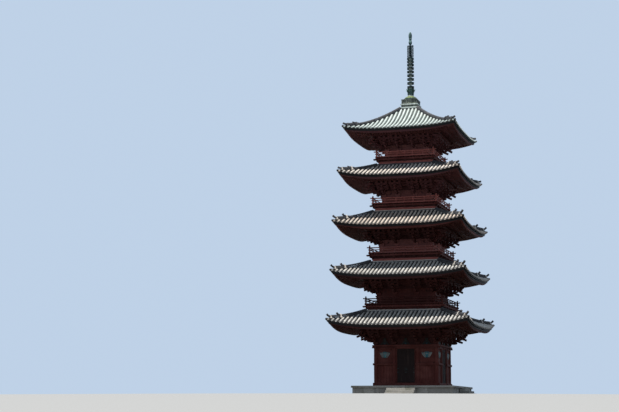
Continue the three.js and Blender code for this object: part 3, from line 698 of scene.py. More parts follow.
def make_finishes(colours):
    """All finishes of the pagoda, by name."""
    grain_group()
    weather_group()
    red, fading_and_painted_light, dark = tuple(colours.red_paint), tuple(colours.faded_paint), tuple(colours.shade_paint)
    bare, upper_shade_paint = (0.20, 0.13, 0.10), (0.115, 0.036, 0.038)
    return {
        # Besides the plain red paint these are copies of it: darker ones for painted shade under the eaves
        # and balconies, and three lighter ones for painted light on walls, waists, rails and bracket feet.
        "red_timber": timber_finish("red_painted_timber", red, fading_and_painted_light, bare, 0.8),
        "dark_timber": timber_finish("dark_painted_timber", dark, red, bare, 0.5),
        "upper_shade_timber": timber_finish("timber_upper_painted_shade", upper_shade_paint, fading_and_painted_light, bare, 0.35),
        "low_painted_light_timber": timber_finish(
            "timber_low_painted_light", (0.27, 0.092, 0.080), (0.33, 0.135, 0.12), bare, 0.7),
        "high_painted_light_timber": timber_finish(
            "timber_high_painted_light", (0.50, 0.150, 0.122), (0.58, 0.215, 0.18), bare, 0.7),
        "mid_painted_light_timber": timber_finish(
            "timber_mid_painted_light", (0.40, 0.118, 0.098), (0.47, 0.172, 0.144), bare, 0.7),
        "door_timber": timber_finish(
            "door_boards", (0.018, 0.008, 0.007), (0.030, 0.012, 0.010), bare, 0.5),
        "ridge_tile": roofing_finish(
            "ridge_tile", (0.080, 0.082, 0.090), (0.045, 0.046, 0.052), (0.16, 0.155, 0.145), 0.35),
        "tile": roofing_finish(
            "smoked_tile", tuple(colours.tile), (0.39, 0.375, 0.35), (0.53, 0.49, 0.43), 0.45),
        # Dark copies of the roofing for the gutters and eave fronts: painted shade, with dirt in the tile
        # pans.
        "tile_shade": roofing_finish(
            "pan_tile_dirt_and_painted_shade", (0.045, 0.045, 0.048), (0.022, 0.022, 0.024), (0.06, 0.055, 0.045), 0.4),
        "eave_shade": roofing_finish(
            "eave_fronts_painted_shade", (0.030, 0.026, 0.026), (0.017, 0.014, 0.014), (0.045, 0.038, 0.035), 0.4),
        "copper": roofing_finish(
            "brown_copper_sheet", tuple(colours.copper), (0.44, 0.375, 0.32), (0.54, 0.51, 0.45), 0.5),
        # A lighter copy of the copper: painted light.
        "copper_painted_light": roofing_finish(
            "copper_sheet_painted_light", (0.74, 0.67, 0.60), (0.58, 0.52, 0.46), (0.66, 0.64, 0.60), 0.5),
        "copper_shade": roofing_finish(
            "copper_gutter_painted_shade", (0.045, 0.042, 0.043), (0.022, 0.022, 0.024), (0.06, 0.065, 0.06), 0.5),
        "verdigris": roofing_finish(
            "verdigris_sheet", tuple(colours.verdigris), (0.43, 0.49, 0.46), (0.57, 0.60, 0.56), 0.5),
        "verdigris_shade": roofing_finish(
            "verdigris_gutter_painted_shade", (0.070, 0.084, 0.080), (0.042, 0.052, 0.05), (0.11, 0.13, 0.12), 0.5),
        "dark_bronze": bronze_finish(
            "dark_bronze", (0.012, 0.022, 0.026), (0.040, 0.075, 0.080), (0.06, 0.08, 0.04), 0.4),
        "pale_bronze": bronze_finish(
            "pale_bronze_and_painted_highlight", (0.36, 0.41, 0.385), (0.66, 0.72, 0.68), (0.30, 0.35, 0.20), 0.3),
        "grey_bronze": bronze_finish(
            "grey_bronze", (0.075, 0.085, 0.078), (0.19, 0.21, 0.18), (0.24, 0.31, 0.11), 0.8),
        "bronze": bronze_finish(
            "old_bronze", tuple(colours.bronze), (0.14, 0.24, 0.23), (0.10, 0.15, 0.05), 0.5),
        "mossy_bronze": bronze_finish(
            "mossy_bronze", tuple(colours.bronze), (0.20, 0.26, 0.18), (0.17, 0.21, 0.06), 0.9),
        "stone": stone_finish(
            "dressed_stone", (0.40, 0.385, 0.35), (0.27, 0.26, 0.24), (0.12, 0.13, 0.08)),
        "teal": roofing_finish(
            "teal_paint", (0.055, 0.24, 0.29), (0.035, 0.16, 0.21), (0.20, 0.36, 0.36), 0.5),
        # Dark copies of the teal and grey-green paints, for the struts and fan backs under the lowest eave:
        # painted shade.
        "dark_teal": roofing_finish(
            "teal_paint_painted_shade", (0.018, 0.050, 0.055), (0.010, 0.030, 0.035), (0.04, 0.06, 0.06), 0.5),
        "grey_green_painted_shade": roofing_finish(
            "grey_green_paint_painted_shade", (0.024, 0.024, 0.021), (0.016, 0.017, 0.015), (0.04, 0.036, 0.032), 0.5),
        "pale_paint": roofing_finish(
            "pale_grey_paint", (0.26, 0.28, 0.27), (0.17, 0.19, 0.19), (0.12, 0.12, 0.11), 0.5),
        "plaster": roofing_finish(
            "pale_plaster", (0.60, 0.56, 0.51), (0.46, 0.43, 0.39), (0.22, 0.21, 0.19), 0.5),
    }


FINISHES = {}


def finish(name):
    """A finish by its short name. All are made at the first call."""
    if not FINISHES:
        FINISHES.update(make_finishes(bpy.context.scene.pagoda_colours))
    return FINISHES[name]


# Roofs


def roof_looks(storey):
    """Finishes of the ribs, gutters and ridge ends, and the record's slot."""
    # The gutters between the ribs take dark finishes: painted shade, with dirt in the tile pans.
    if storey.number in TILED:
        return "tile", "tile_shade", "plaster", "roof_tile"
    if storey.number == len(STOREYS):
        return "verdigris", "verdigris_shade", "ridge_tile", "copper_sheet"
    # The fourth roof's ribs take a lighter copy of the copper: painted light.
    return "copper_painted_light" if storey.number == 4 else "copper", "copper_shade", "plaster", "copper_sheet"


def rib_lines(storey, pitch):
    """Where the ribs run up the roof, evenly from corner to corner with one in the middle."""
    outermost = storey.eave - 0.20
    half = round(outermost / pitch)
    return np.linspace(-outermost, outermost, 2 * half + 1)


def courses(storey, x, length, clear):
    """Outer and inner reach of each tile or sheet in the runs at x, cut off at hip and waist."""
    count = math.ceil((storey.eave - storey.waist) / length)
    outer = storey.eave - 0.03 - np.arange(count) * length
    x, outer = np.meshgrid(x, outer, indexing="ij")
    limit = np.maximum(storey.waist + 0.05, np.abs(x) + clear)
    inner = np.maximum(outer - length, limit)
    keep = outer > limit + 0.04
    return x[keep], outer[keep], inner[keep]


def round_tiles(storey, x, outer, inner, radius, sink):
    """Half-round tiles along the slope, a little wider at the outer end, where each laps the next."""
    section = half_circle(1.0, 6)
    reach = np.stack([outer, inner], 1)[..., None]
    radii = np.array([radius, 0.92 * radius])[:, None]
    height = roof_skin(storey, x[:, None, None], reach) - sink
    return points_of(
        x[:, None, None] + radii * section[:, 0], -reach, height + radii * section[:, 1])


def pan_section(half, hollow, thick):
    """Across and height of a pan: a parabola hollowed below its edges, and the same one under it."""
    share = np.linspace(-1, 1, 5)
    top = -PAN_SINK - hollow * (1 - share ** 2)
    return np.concatenate([share, share[::-1]]) * half, np.concatenate([top, top[::-1] - thick])


def pan_tiles(storey, x, outer, inner, half, hollow, lap):
    """Hollow tiles or sheets between the ribs, each raised at its outer end over the next."""
    across, profile = pan_section(half, hollow, PAN_THICK)
    reach = np.stack([outer, inner], 1)[..., None]
    raised = np.array([lap, 0.0])[:, None]
    height = roof_skin(storey, x[:, None, None], reach) + raised
    return points_of(x[:, None, None] + across, -reach, height + profile)


def eave_pans(storey, x, half, hollow):
    """The curved fronts that hang from the lowest pans between the end discs."""
    across, profile = pan_section(half, hollow, 0.05)
    reach = np.array([storey.eave - 0.02, storey.eave - 0.055])[None, :, None]
    height = roof_skin(storey, x[:, None, None], reach)
    return points_of(x[:, None, None] + across, -reach, height + profile + 0.015)


def end_discs(storey, x, radius, sink):
    """Round tile ends at the eave: a raised rim round a flat field with a boss."""
    rings = ((0.95, 0.05), (1.05, 0.0), (0.82, 0.0), (0.76, 0.012), (0.36, 0.012), (0.28, 0.0))
    size, back = np.array(rings).T
    section = circle(1.0, 12)
    height = roof_skin(storey, x, storey.eave - 0.03) - sink
    px = x[:, None, None] + radius * size[:, None] * section[:, 0]
    pz = height[:, None, None] + radius * size[:, None] * section[:, 1]
    return points_of(px, -(storey.eave - 0.005) + back[None, :, None], pz)


def roof_deck(storey, sink):
    """Boards and bedding under the tiles, down to the frame's underside of the cover."""
    reach = np.linspace(storey.eave - 0.07, storey.waist + 0.002, 9)
    height = roof_height(storey, inward_share(storey, reach))
    under = [(r, z - storey.cover + 0.002, 1) for r, z in zip(reach, height)]
    upper = [(r, z - sink, 1) for r, z in zip(reach, height)]
    return roof_ring(storey, under + upper[::-1])


def hip_line(storey, outer, inner, count):
    """Points of the roof skin along the hip at the front right corner."""
    reach = np.linspace(outer, inner, count)
    return points_of(reach, -reach, roof_skin(storey, reach, reach))


def ridge(heap, line, width, layers, layer, cap):
    """A ridge along a hip: stacked flat courses under a run of half-round tiles."""
    heap.add(four_sides(sweep((line - UP * 0.05)[None], rectangle(width * 0.9, 0.13, 0.01))))
    for level in range(layers):
        narrowed = width * (1 - 0.09 * level)
        path = line + UP * (0.02 + (level + 0.5) * layer)
        heap.add(four_sides(sweep(path[None], rectangle(narrowed, layer * 0.82, 0.006))))
    top = line + UP * (0.02 + layers * layer)
    lengths = np.stack([top[:-1], top[1:]], 1)
    heap.add(four_sides(sweep(lengths, half_circle(cap, 6), (1.0, 0.9))))


def ridge_end(heap, horns, storey, reach, width, height, rise):
    """The plate that closes a ridge, with scroll feet and a boss, and the horn over it."""
    base = points_of(reach, -reach, roof_skin(storey, reach, reach)) + DIAGONAL * 0.03
    w, h = width / 2, height
    half = [(1.0, -0.12), (1.12, 0.04), (0.98, 0.2), (0.8, 0.28), (0.66, 0.55), (0.42, 0.86), (0.16, 1.0)]
    outline = [(w * a, h * b) for a, b in half] + [(-w * a, h * b) for a, b in half[::-1]]
    heap.add(four_sides(plates(outline, base, ACROSS_DIAGONAL, UP, 0.08)))
    face = [(0.6 * a, 0.72 * b + 0.06 * h) for a, b in outline]
    heap.add(four_sides(plates(face, base + DIAGONAL * 0.045, ACROSS_DIAGONAL, UP, 0.03)))
    for side in (-1, 1):
        foot = base + ACROSS_DIAGONAL * side * w * 0.98 + UP * h * 0.04
        ends = np.stack([foot - DIAGONAL * 0.05, foot + DIAGONAL * 0.06])[None]
        heap.add(four_sides(sweep(ends, circle(0.16 * h, 10))))
    boss = base + UP * 0.42 * h + DIAGONAL * np.array([0.04, 0.075, 0.09])[:, None]
    heap.add(four_sides(sweep(boss[None], circle(0.17 * h, 10), (1.0, 0.9, 0.4))))
    out = np.array([-0.30, -0.10, 0.06, 0.17, 0.26, 0.33])
    share = np.array([0.0, 0.0, 0.0, 0.16, 0.55, 1.0])
    climb = 0.62 * height + (rise - 0.62 * height) * share
    path = base + DIAGONAL * out[:, None] + UP * climb[:, None]
    horns.add(four_sides(sweep(path[None], circle(0.08, 8), (0.9, 1.0, 1.0, 1.0, 1.0, 1.1))))


def lay_roof(storey, settings):
    """One storey's roof: deck, gutters, ribs, eave discs, ridges and ridge ends."""
    rib_look, gutter_look, end_look, slot = roof_looks(storey)
    if storey.number in TILED:
        covering = TILE_COVERING
        radius, length, pan = settings.tile_radius, settings.tile_length, settings.pan_length
    else:
        covering = SHEET_COVERING
        radius, length, pan = settings.batten_radius, settings.sheet_length, settings.sheet_length
    sink, hollow = covering.rib_sink, covering.hollow
    ribs = rib_lines(storey, settings.rib_pitch)
    gaps = (ribs[1:] + ribs[:-1]) / 2
    half_gap = (ribs[1] - ribs[0]) / 2 - 0.55 * radius
    node_name = f"roof_{storey.number}"

    gutters = Heap(10 + storey.number)
    gutters.add(roof_deck(storey, covering.deck_sink), ring=True)
    runs = courses(storey, gaps, pan, 0.06)
    gutters.add(four_sides(pan_tiles(storey, *runs, half_gap, hollow, covering.lap)))
    gutters.piece(f"{node_name}_gutters", finish(gutter_look), slot, (node_name,))
    # Pan fronts, the corner tile and the board under the tile ends take a near black finish: painted shade
    # under the tile ends.
    fronts = Heap(25 + storey.number)
    fronts.add(four_sides(eave_pans(storey, gaps, half_gap, hollow)))
    fronts.add(four_sides(corner_tile(storey, radius, sink)))
    inner, outer = board_edge(storey) - 0.16, board_edge(storey) + 0.035
    fronts.add(roof_ring(storey, [
        (inner, storey.edge - TILE_BOARD_LOW + 0.02, 1), (outer, storey.edge - TILE_BOARD_LOW, 1),
        (outer, storey.edge + 0.035, 1), (inner, storey.edge + 0.05, 1),
    ]), ring=True)
    fronts.piece(f"{node_name}_eave_fronts", finish("eave_shade"), slot, (node_name,))

    cover = Heap(20 + storey.number)
    runs = courses(storey, ribs, length, 0.10)
    cover.add(four_sides(round_tiles(storey, *runs, radius, sink)))
    cover.add(four_sides(end_discs(storey, ribs, 0.85 * radius, sink - 0.015)))
    hips = Heap(30 + storey.number)
    ridge_end_reach = storey.eave - RIDGE_END_BACK
    tail_reach = storey.eave - TAIL_END_BACK
    hip_tiles = 2 + round((ridge_end_reach - storey.waist) / HIP_TILE)
    line = hip_line(storey, ridge_end_reach, storey.waist + 0.10, hip_tiles)
    ridge(hips, line, 0.30, covering.ridge_courses, 0.045, 0.085)
    ridge(hips, hip_line(storey, tail_reach, ridge_end_reach - 0.08, 4), 0.24, 3, 0.05, 0.08)
    low_course, high_course = waist_courses(storey)
    # The lower waist course goes with the dark ridges; on the top roof it stands below the pale upper course
    # as painted shade.
    hips.add(roof_ring(storey, low_course), ring=True)
    # The fourth roof's round cap is as dark as its ridges.
    (hips if storey.number == 4 else cover).add(roof_ring(storey, high_course), ring=True)
    ends = Heap(35 + storey.number)
    horn_rise = 0.34 if storey.number < 4 else 0.22
    ridge_end(ends, hips, storey, ridge_end_reach, 0.44, 0.29, horn_rise)
    ridge_end(ends, hips, storey, tail_reach, 0.34, 0.22, horn_rise - 0.05)
    cover.piece(f"{node_name}_ribs", finish(rib_look), slot, (node_name,))
    ends.piece(f"{node_name}_ridge_ends", finish(end_look), slot, (node_name,))
    hips.piece(f"{node_name}_ridges", finish("ridge_tile"), slot, (node_name,))


def corner_tile(storey, radius, sink):
    """The round tile that runs out to the roof's very corner, closed by a disc."""
    reach = np.array([storey.eave - 0.01, storey.eave - 0.03, storey.eave - 0.05, storey.eave - 0.4])
    height = roof_skin(storey, reach, reach) - sink
    path = points_of(reach, -reach, height)
    return sweep(path[None], circle(radius, 12), (0.8, 1.05, 1.0, 0.92))


def waist_courses(storey):
    """Sections of the two courses that close the roof against the waist: a flat one and a round cap
    on it, or on the top roof two flat ones."""
    waist, top = storey.waist, storey.top
    inner = waist + 0.002
    if storey.number == len(STOREYS):
        low, middle, high = top - 0.20, top - 0.06, top + 0.03
        out = waist + 0.13
        lower = [(inner, low, 0), (out, low, 0), (out, middle, 0), (inner, middle, 0)]
        out = waist + 0.16
        return lower, [(inner, middle, 0), (out, middle, 0), (out, high, 0), (inner, high, 0)]
    out = waist + 0.20
    lower = [(inner, top - 0.10, 0), (out, top - 0.16, 0), (out, top - 0.05, 0), (inner, top, 0)]
    angle = np.linspace(0, math.pi, 6)
    return lower, [
        (waist + 0.085 + 0.075 * math.cos(a), top - 0.02 + 0.075 * math.sin(a), 0) for a in angle]


# Eaves


def rafter_lines(storey, pitch):
    """Where the rafters run, at one pitch from the middle out to both corners."""
    half = int((board_edge(storey) - 0.14) / pitch)
    return np.arange(-half, half + 1) * pitch


def lifted_points(storey, x, reach, height):
    """Points on the front side, lifted with the eave."""
    return points_of(x, -reach, height + eave_lift(storey, x / reach, inward_share(storey, reach)))


def rafters(storey, x, outer, inner, under, width, deep):
    """Straight rafters from their outer to their inner reach, cut off at the hip."""
    inner = np.maximum(inner, np.abs(x) + 0.07)
    keep = inner < outer - 0.10
    x, inner = x[keep], inner[keep]
    outer = np.full_like(inner, outer)
    start = lifted_points(storey, x, outer, under(storey, outer) + deep / 2)
    end = lifted_points(storey, x, inner, under(storey, inner) + deep / 2)
    return bars(start, end, width, deep, 0.006)


def hip_rafter(storey, outer, inner, under, width, deep):
    """The rafter under the corner, following the lift of the eave."""
    reach = np.linspace(outer, inner, 7)
    path = lifted_points(storey, reach, reach, under(storey, reach) + deep / 2 - 0.02)
    return sweep(path[None], rectangle(width, deep, 0.01))


def frame_eaves(storey, settings):
    """Two tiers of rafters, the boards over them, the edge boards and the corner rafters."""
    edge = board_edge(storey)
    split = edge - FLYING_REACH
    purlin = purlin_reach(storey)
    x = rafter_lines(storey, settings.rafter_pitch)
    wide = settings.rafter_width
    timbers = Heap(40 + storey.number)
    timbers.add(four_sides(rafters(storey, x, edge - 0.13, split - 0.25, flying_under, wide, FLYING_DEEP)))
    timbers.add(four_sides(rafters(
        storey, x, split + 0.05, purlin - 0.15, base_under, wide + 0.01, BASE_DEEP)))
    timbers.add(four_sides(hip_rafter(storey, edge - 0.02, split - 0.3, flying_under, 0.14, 0.14)))
    timbers.add(four_sides(hip_rafter(storey, split + 0.10, storey.body, base_under, 0.17, 0.22)))
    low, high = base_under(storey, split) + 0.085, flying_under(storey, split) + 0.03
    timbers.add(roof_ring(storey, [
        (split - 0.04, low, 1), (split + 0.07, low, 1), (split + 0.07, high, 1), (split - 0.04, high, 1),
    ], eave_lift), ring=True)
    node_name = f"eaves_{storey.number}"
    # Rafters and boards take the darker paint: painted shade under the eave, less dark on the upper storeys.
    shade = finish(EAVES_PAINTED_SHADE[storey.number])
    timbers.piece(f"{node_name}_rafters", shade, "dark_timber", (node_name,))

    boards = Heap(50 + storey.number)
    for under, deep, outer, inner in (
        (flying_under, FLYING_DEEP, edge - 0.03, split - 0.06), (base_under, BASE_DEEP, split, purlin - 0.1),
    ):
        top_out, top_in = under(storey, outer) + deep, under(storey, inner) + deep
        boards.add(roof_ring(storey, [
            (outer, top_out, 1), (inner, top_in, 1), (inner, top_in + 0.02, 1), (outer, top_out + 0.02, 1),
        ], eave_lift), ring=True)
    ceiling = purlin_top(storey) + 0.002
    boards.add(square_ring(storey.body - 0.30, purlin + 0.02, ceiling, ceiling + 0.03), ring=True)
    boards.piece(f"{node_name}_boards", shade, "dark_timber", (node_name,))
    fascia = Heap(45 + storey.number)
    low = flying_under(storey, edge) + FLYING_DEEP - BOARD_OVERLAP
    rows = roof_ring(storey, [(edge - 0.12, low + 0.03, 1), (edge, low, 1)], board_lift)
    top = storey.edge - TILE_BOARD_LOW
    cover = roof_ring(storey, [(edge, top, 1), (edge - 0.12, top + 0.015, 1)])
    rows[..., 2] = np.minimum(rows[..., 2], cover[..., ::-1, 2] - 0.02)
    fascia.add(np.concatenate([rows, cover], 2), ring=True)
    # The edge boards take the darker paint on most storeys: painted shade under the tile ends.
    fading_and_painted_light = finish(EDGE_PAINTED_SHADE[storey.number])
    fascia.piece(f"{node_name}_edge_boards", fading_and_painted_light, "dark_timber", (node_name,))


# Brackets


def arm_outline(length, height):
    """The side of a bracket arm: flat above, its ends rounded up from below."""
    half = length / 2
    curve = [(1.0, 0.45), (0.93, 0.2), (0.8, 0.05), (0.68, 0.0)]
    right = [(half, height)] + [(half * a, height * b) for a, b in curve]
    return right + [(-a, b) for a, b in right[::-1]]


def bracket_sets(feet, heap, origins, out, across, stretch, rise):
    """Three-stepped brackets with two tail rafters each, and in feet the great blocks and wall arms
    that carry them. Places are (aside, forward, level) from each foot: rise scales their levels,
    and stretch their way forward, longer on the diagonal."""

    def place(aside, forward, height):
        return origins + across * aside + out * forward * stretch + UP * height * rise

    def blocks_at(spots, half, height, where=heap):
        for aside, forward, level in spots:
            where.add(four_sides(bearing_blocks(
                place(aside, forward, level), out, across, half, height * rise)))

    def arm_at(forward, level, length, height):
        outline = arm_outline(length, height * rise)
        heap.add(four_sides(plates(outline, place(0, forward, level), across, UP, ARM_THICK)))

    if stretch == 1:
        # The last column's great block is the first one of the next side.
        feet.add(four_sides(bearing_blocks(origins[:-1], out, across, 0.20, 0.24 * rise)))
    first, second, third = ARM_OUT
    arm = arm_outline(2 * (first * stretch + 0.13), 0.16 * rise)
    heap.add(four_sides(plates(arm, place(0, 0, 0.18), out, UP, ARM_THICK)))
    for start, end in (((0, 0.66), (0.93, 0.325)), ((0.15, 0.98), (1.20, 0.50))):
        heap.add(four_sides(bars(place(0, *start), place(0, *end), 0.12, 0.15, 0.01)))
    blocks_at([(0, first, 0.34)], 0.11, 0.13)
    blocks_at([(0, second, 0.47)], 0.11, 0.11)
    blocks_at([(0, third, 0.64)], 0.11, 0.12)
    if stretch > 1:
        arm_at(third, 0.76, 0.8, 0.14)
        return
    wall_arm = arm_outline(0.96, 0.15 * rise)
    feet.add(four_sides(plates(wall_arm, place(0, 0, 0.20), across, UP, WALL_ARM_THICK)))
    arm_at(first, 0.47, 0.88, 0.14)
    arm_at(second, 0.58, 0.88, 0.14)
    arm_at(third, 0.76, 0.96, 0.15)
    for aside in (-0.38, 0.38):
        blocks_at([(aside, 0, 0.35)], 0.095, 0.11, feet)
        blocks_at([(aside, first, 0.61), (aside, second, 0.72)], 0.095, 0.11)
        blocks_at([(aside, third, 0.91)], 0.095, 0.12)
    blocks_at([(0, third, 0.91)], 0.095, 0.12)


def cross_beams(heap, reach, low, high, width, nose):
    """Four straight beams, one a side, whose ends cross at the corners. Those of the right and left
    are a hair less deep, so no two faces lie in one plane where they cross."""
    middle = (low + high) / 2
    ends = points_of([-reach - nose, reach + nose], -reach, middle)
    beams = four_sides(bars(ends[:1], ends[1:], width, high - low, 0.008))
    beams[1::2, ..., 2] = middle + (beams[1::2, ..., 2] - middle) * CROSSING_SHARE
    heap.add(beams)


def bracket_foot(storey):
    """Where the brackets start: the columns' line, the door columns' place on it and the height."""
    line = storey.body - COLUMN_RADIUS
    return line, DOOR_SHARE * line, storey.edge - BRACKET_DROP


def ceiling_slats(heap, line, start, end, pitch):
    """Thin slats that slope from one beam up to the next, side by side, clear of the corners."""
    half = int((line + start[0]) / pitch)
    x = np.arange(-half, half + 1) * pitch
    low = points_of(x, -(line + start[0]), start[1])
    high = points_of(x, -(line + end[0]), end[1])
    heap.add(four_sides(bars(low, high, 0.035, 0.03)))


def build_brackets(storey):
    """Bracket sets at every column and on the corners, the boards behind them, the beams that tie
    them, the slats and boards of the ceiling between, and the purlin."""
    line, door, base = bracket_foot(storey)
    rise = (purlin_top(storey) - PURLIN_DEEP - base) / BRACKET_TALL
    node_name = f"brackets_{storey.number}"
    sets = Heap(60 + storey.number)
    columns = points_of(np.array([-line, -door, door, line]), -line, base)
    feet = Heap(65 + storey.number)
    bracket_sets(feet, sets, columns, OUT, ALONG, 1.0, rise)
    bracket_sets(feet, sets, columns[3:], DIAGONAL, ACROSS_DIAGONAL, math.sqrt(2), rise)
    feet.add(square_ring(line + 0.02, line + 0.045, base, base + 0.45 * rise), ring=True)
    # Great blocks and wall arms take the dark paint on the ground storey, painted shade, and a lighter copy
    # from the third storey up, painted light under the eaves.
    feet.piece(f"{node_name}_feet", finish(FEET_PAINTED_LIGHT[storey.number]), "dark_timber", (node_name,))
    # Bracket sets and beams take the darker paint of the eaves: painted shade.
    shade = finish(EAVES_PAINTED_SHADE[storey.number])
    sets.piece(f"{node_name}_sets", shade, "dark_timber", (node_name,))

    beams = Heap(70 + storey.number)
    top = purlin_top(storey)
    beams.add(square_ring(line - 0.05, line + 0.03, base, top + 0.02), ring=True)
    for level in (0.46, 0.72, 0.95):
        cross_beams(beams, line, base + level * rise, base + (level + 0.13) * rise, 0.14, 0.25)
    for reach, level in zip(ARM_OUT, (0.72, 0.83)):
        cross_beams(beams, line + reach, base + level * rise, base + (level + 0.12) * rise, 0.11, 0.22)
    cross_beams(beams, purlin_reach(storey), top - PURLIN_DEEP, top, 2 * PURLIN_HALF, 0.28)
    slats = (((0.06, 0.80), (0.44, 0.86)), ((0.50, 0.84), (0.74, 0.94)), ((0.80, 0.94), (1.0, 1.06)))
    for start, end in slats:
        low, high = (start[0], base + start[1] * rise), (end[0], base + end[1] * rise)
        ceiling_slats(beams, line, low, high, 0.14)
    boards = (((0.05, 0.84), (0.47, 0.90)), ((0.47, 0.88), (0.77, 1.0)), ((0.77, 0.98), (1.02, 1.12)))
    for start, end in boards:
        inner, outer = line + start[0], line + end[0]
        low, high = base + start[1] * rise, base + end[1] * rise
        beams.add(roof_ring(storey, [
            (inner, low, 0), (outer, high, 0), (outer, high + 0.02, 0), (inner, low + 0.02, 0),
        ]), ring=True)
    beams.piece(f"{node_name}_beams", shade, "dark_timber", (node_name,))


def frog_leg_struts(storey):
    """Curved struts that spread like legs on the head beam, one a bay, with a painted leaf."""
    line, door, base = bracket_foot(storey)
    bays = points_of(np.array([-(line + door) / 2, 0.0, (line + door) / 2]), -(line + 0.10), base)
    outer = [(0.12, 0.40), (0.17, 0.33), (0.26, 0.24), (0.38, 0.13), (0.50, 0.05), (0.52, 0.0)]
    inner = [(0.40, 0.0), (0.30, 0.06), (0.18, 0.16), (0.08, 0.24)]
    right = [(0.62 * a, b) for a, b in outer + inner]
    outline = right + [(-a, b) for a, b in right[::-1]]
    legs = Heap(81)
    legs.add(four_sides(plates(outline, bays, ALONG, UP, 0.09)))
    legs.add(four_sides(bearing_blocks(bays + UP * 0.40, OUT, ALONG, 0.10, 0.10)))
    # Struts and leaves take dark copies of their paints: painted shade under the lowest eave.
    legs.piece("frog_leg_struts", finish("grey_green_painted_shade"), "red_timber")
    leaf = [(0.0, 0.04), (0.06, 0.05), (0.10, 0.08), (0.08, 0.13), (0.04, 0.18), (0.0, 0.20)]
    leaf_outline = leaf + [(-a, b) for a, b in leaf[-2:0:-1]]
    leaves = Heap(82)
    leaves.add(four_sides(plates(leaf_outline, bays + OUT * 0.01, ALONG, UP, 0.05)))
    leaves.piece("strut_leaves", finish("dark_teal"), "red_timber")


# Upper storeys


def wall_boards(heap, x0, x1, reach, low, high, pitch=0.19, thick=0.035):
    """Upright boards side by side on the front, with a fine gap between them."""
    count = max(1, round((x1 - x0) / pitch))
    edges = np.linspace(x0, x1, count + 1)
    middle = (edges[1:] + edges[:-1]) / 2
    half = (x1 - x0) / count / 2 - 0.004
    section = rectangle(2 * half, thick, 0.006)
    rows = np.array([low, high])[None, :, None]
    shapes = points_of(middle[:, None, None] + section[:, 0], -reach + section[:, 1], rows)
    heap.add(four_sides(shapes))


def upper_walls(storey):
    """Round columns, boarded bays between rails, and the plate under the brackets."""
    number = storey.number
    line = storey.body - UPPER_COLUMN
    low, top = storey.floor, storey.edge - BRACKET_DROP
    plate = top - 0.11
    door = DOOR_SHARE * line
    frame = Heap(90 + number)
    x = np.array([-door, door, line])
    profile = [(0.96 * UPPER_COLUMN, low), (UPPER_COLUMN, low + 0.5), (0.97 * UPPER_COLUMN, plate)]
    frame.add(four_sides(turnings(points_of(x, -line, 0.0), profile, 16)))
    rail = line + 0.10
    for z, deep in ((low + 0.07, 0.14), (low + 0.48 * (plate - low), 0.11), (plate - 0.10, 0.14)):
        cross_beams(frame, rail, z - deep / 2, z + deep / 2, 0.10, 0.03)
    frame.add(square_ring(line - UPPER_COLUMN, storey.body + 0.05, plate, top), ring=True)
    # The walls take lighter copies of the red paint from the third storey up: painted light in the shade of
    # the eaves.
    fading_and_painted_light = finish(WALL_PAINTED_LIGHT[number])
    frame.piece(f"walls_{number}_frame", fading_and_painted_light, "red_timber", (f"walls_{number}",))
    boards = Heap(100 + number)
    boards.add(square_ring(line - 0.06, line, low, plate), ring=True)
    for x0, x1 in ((-line, -door), (-door, door), (door, line)):
        inner0, inner1 = x0 + 0.9 * UPPER_COLUMN, x1 - 0.9 * UPPER_COLUMN
        wall_boards(boards, inner0, inner1, line + 0.02, low, plate)
    boards.piece(f"walls_{number}_boards", fading_and_painted_light, "red_timber", (f"walls_{number}",))


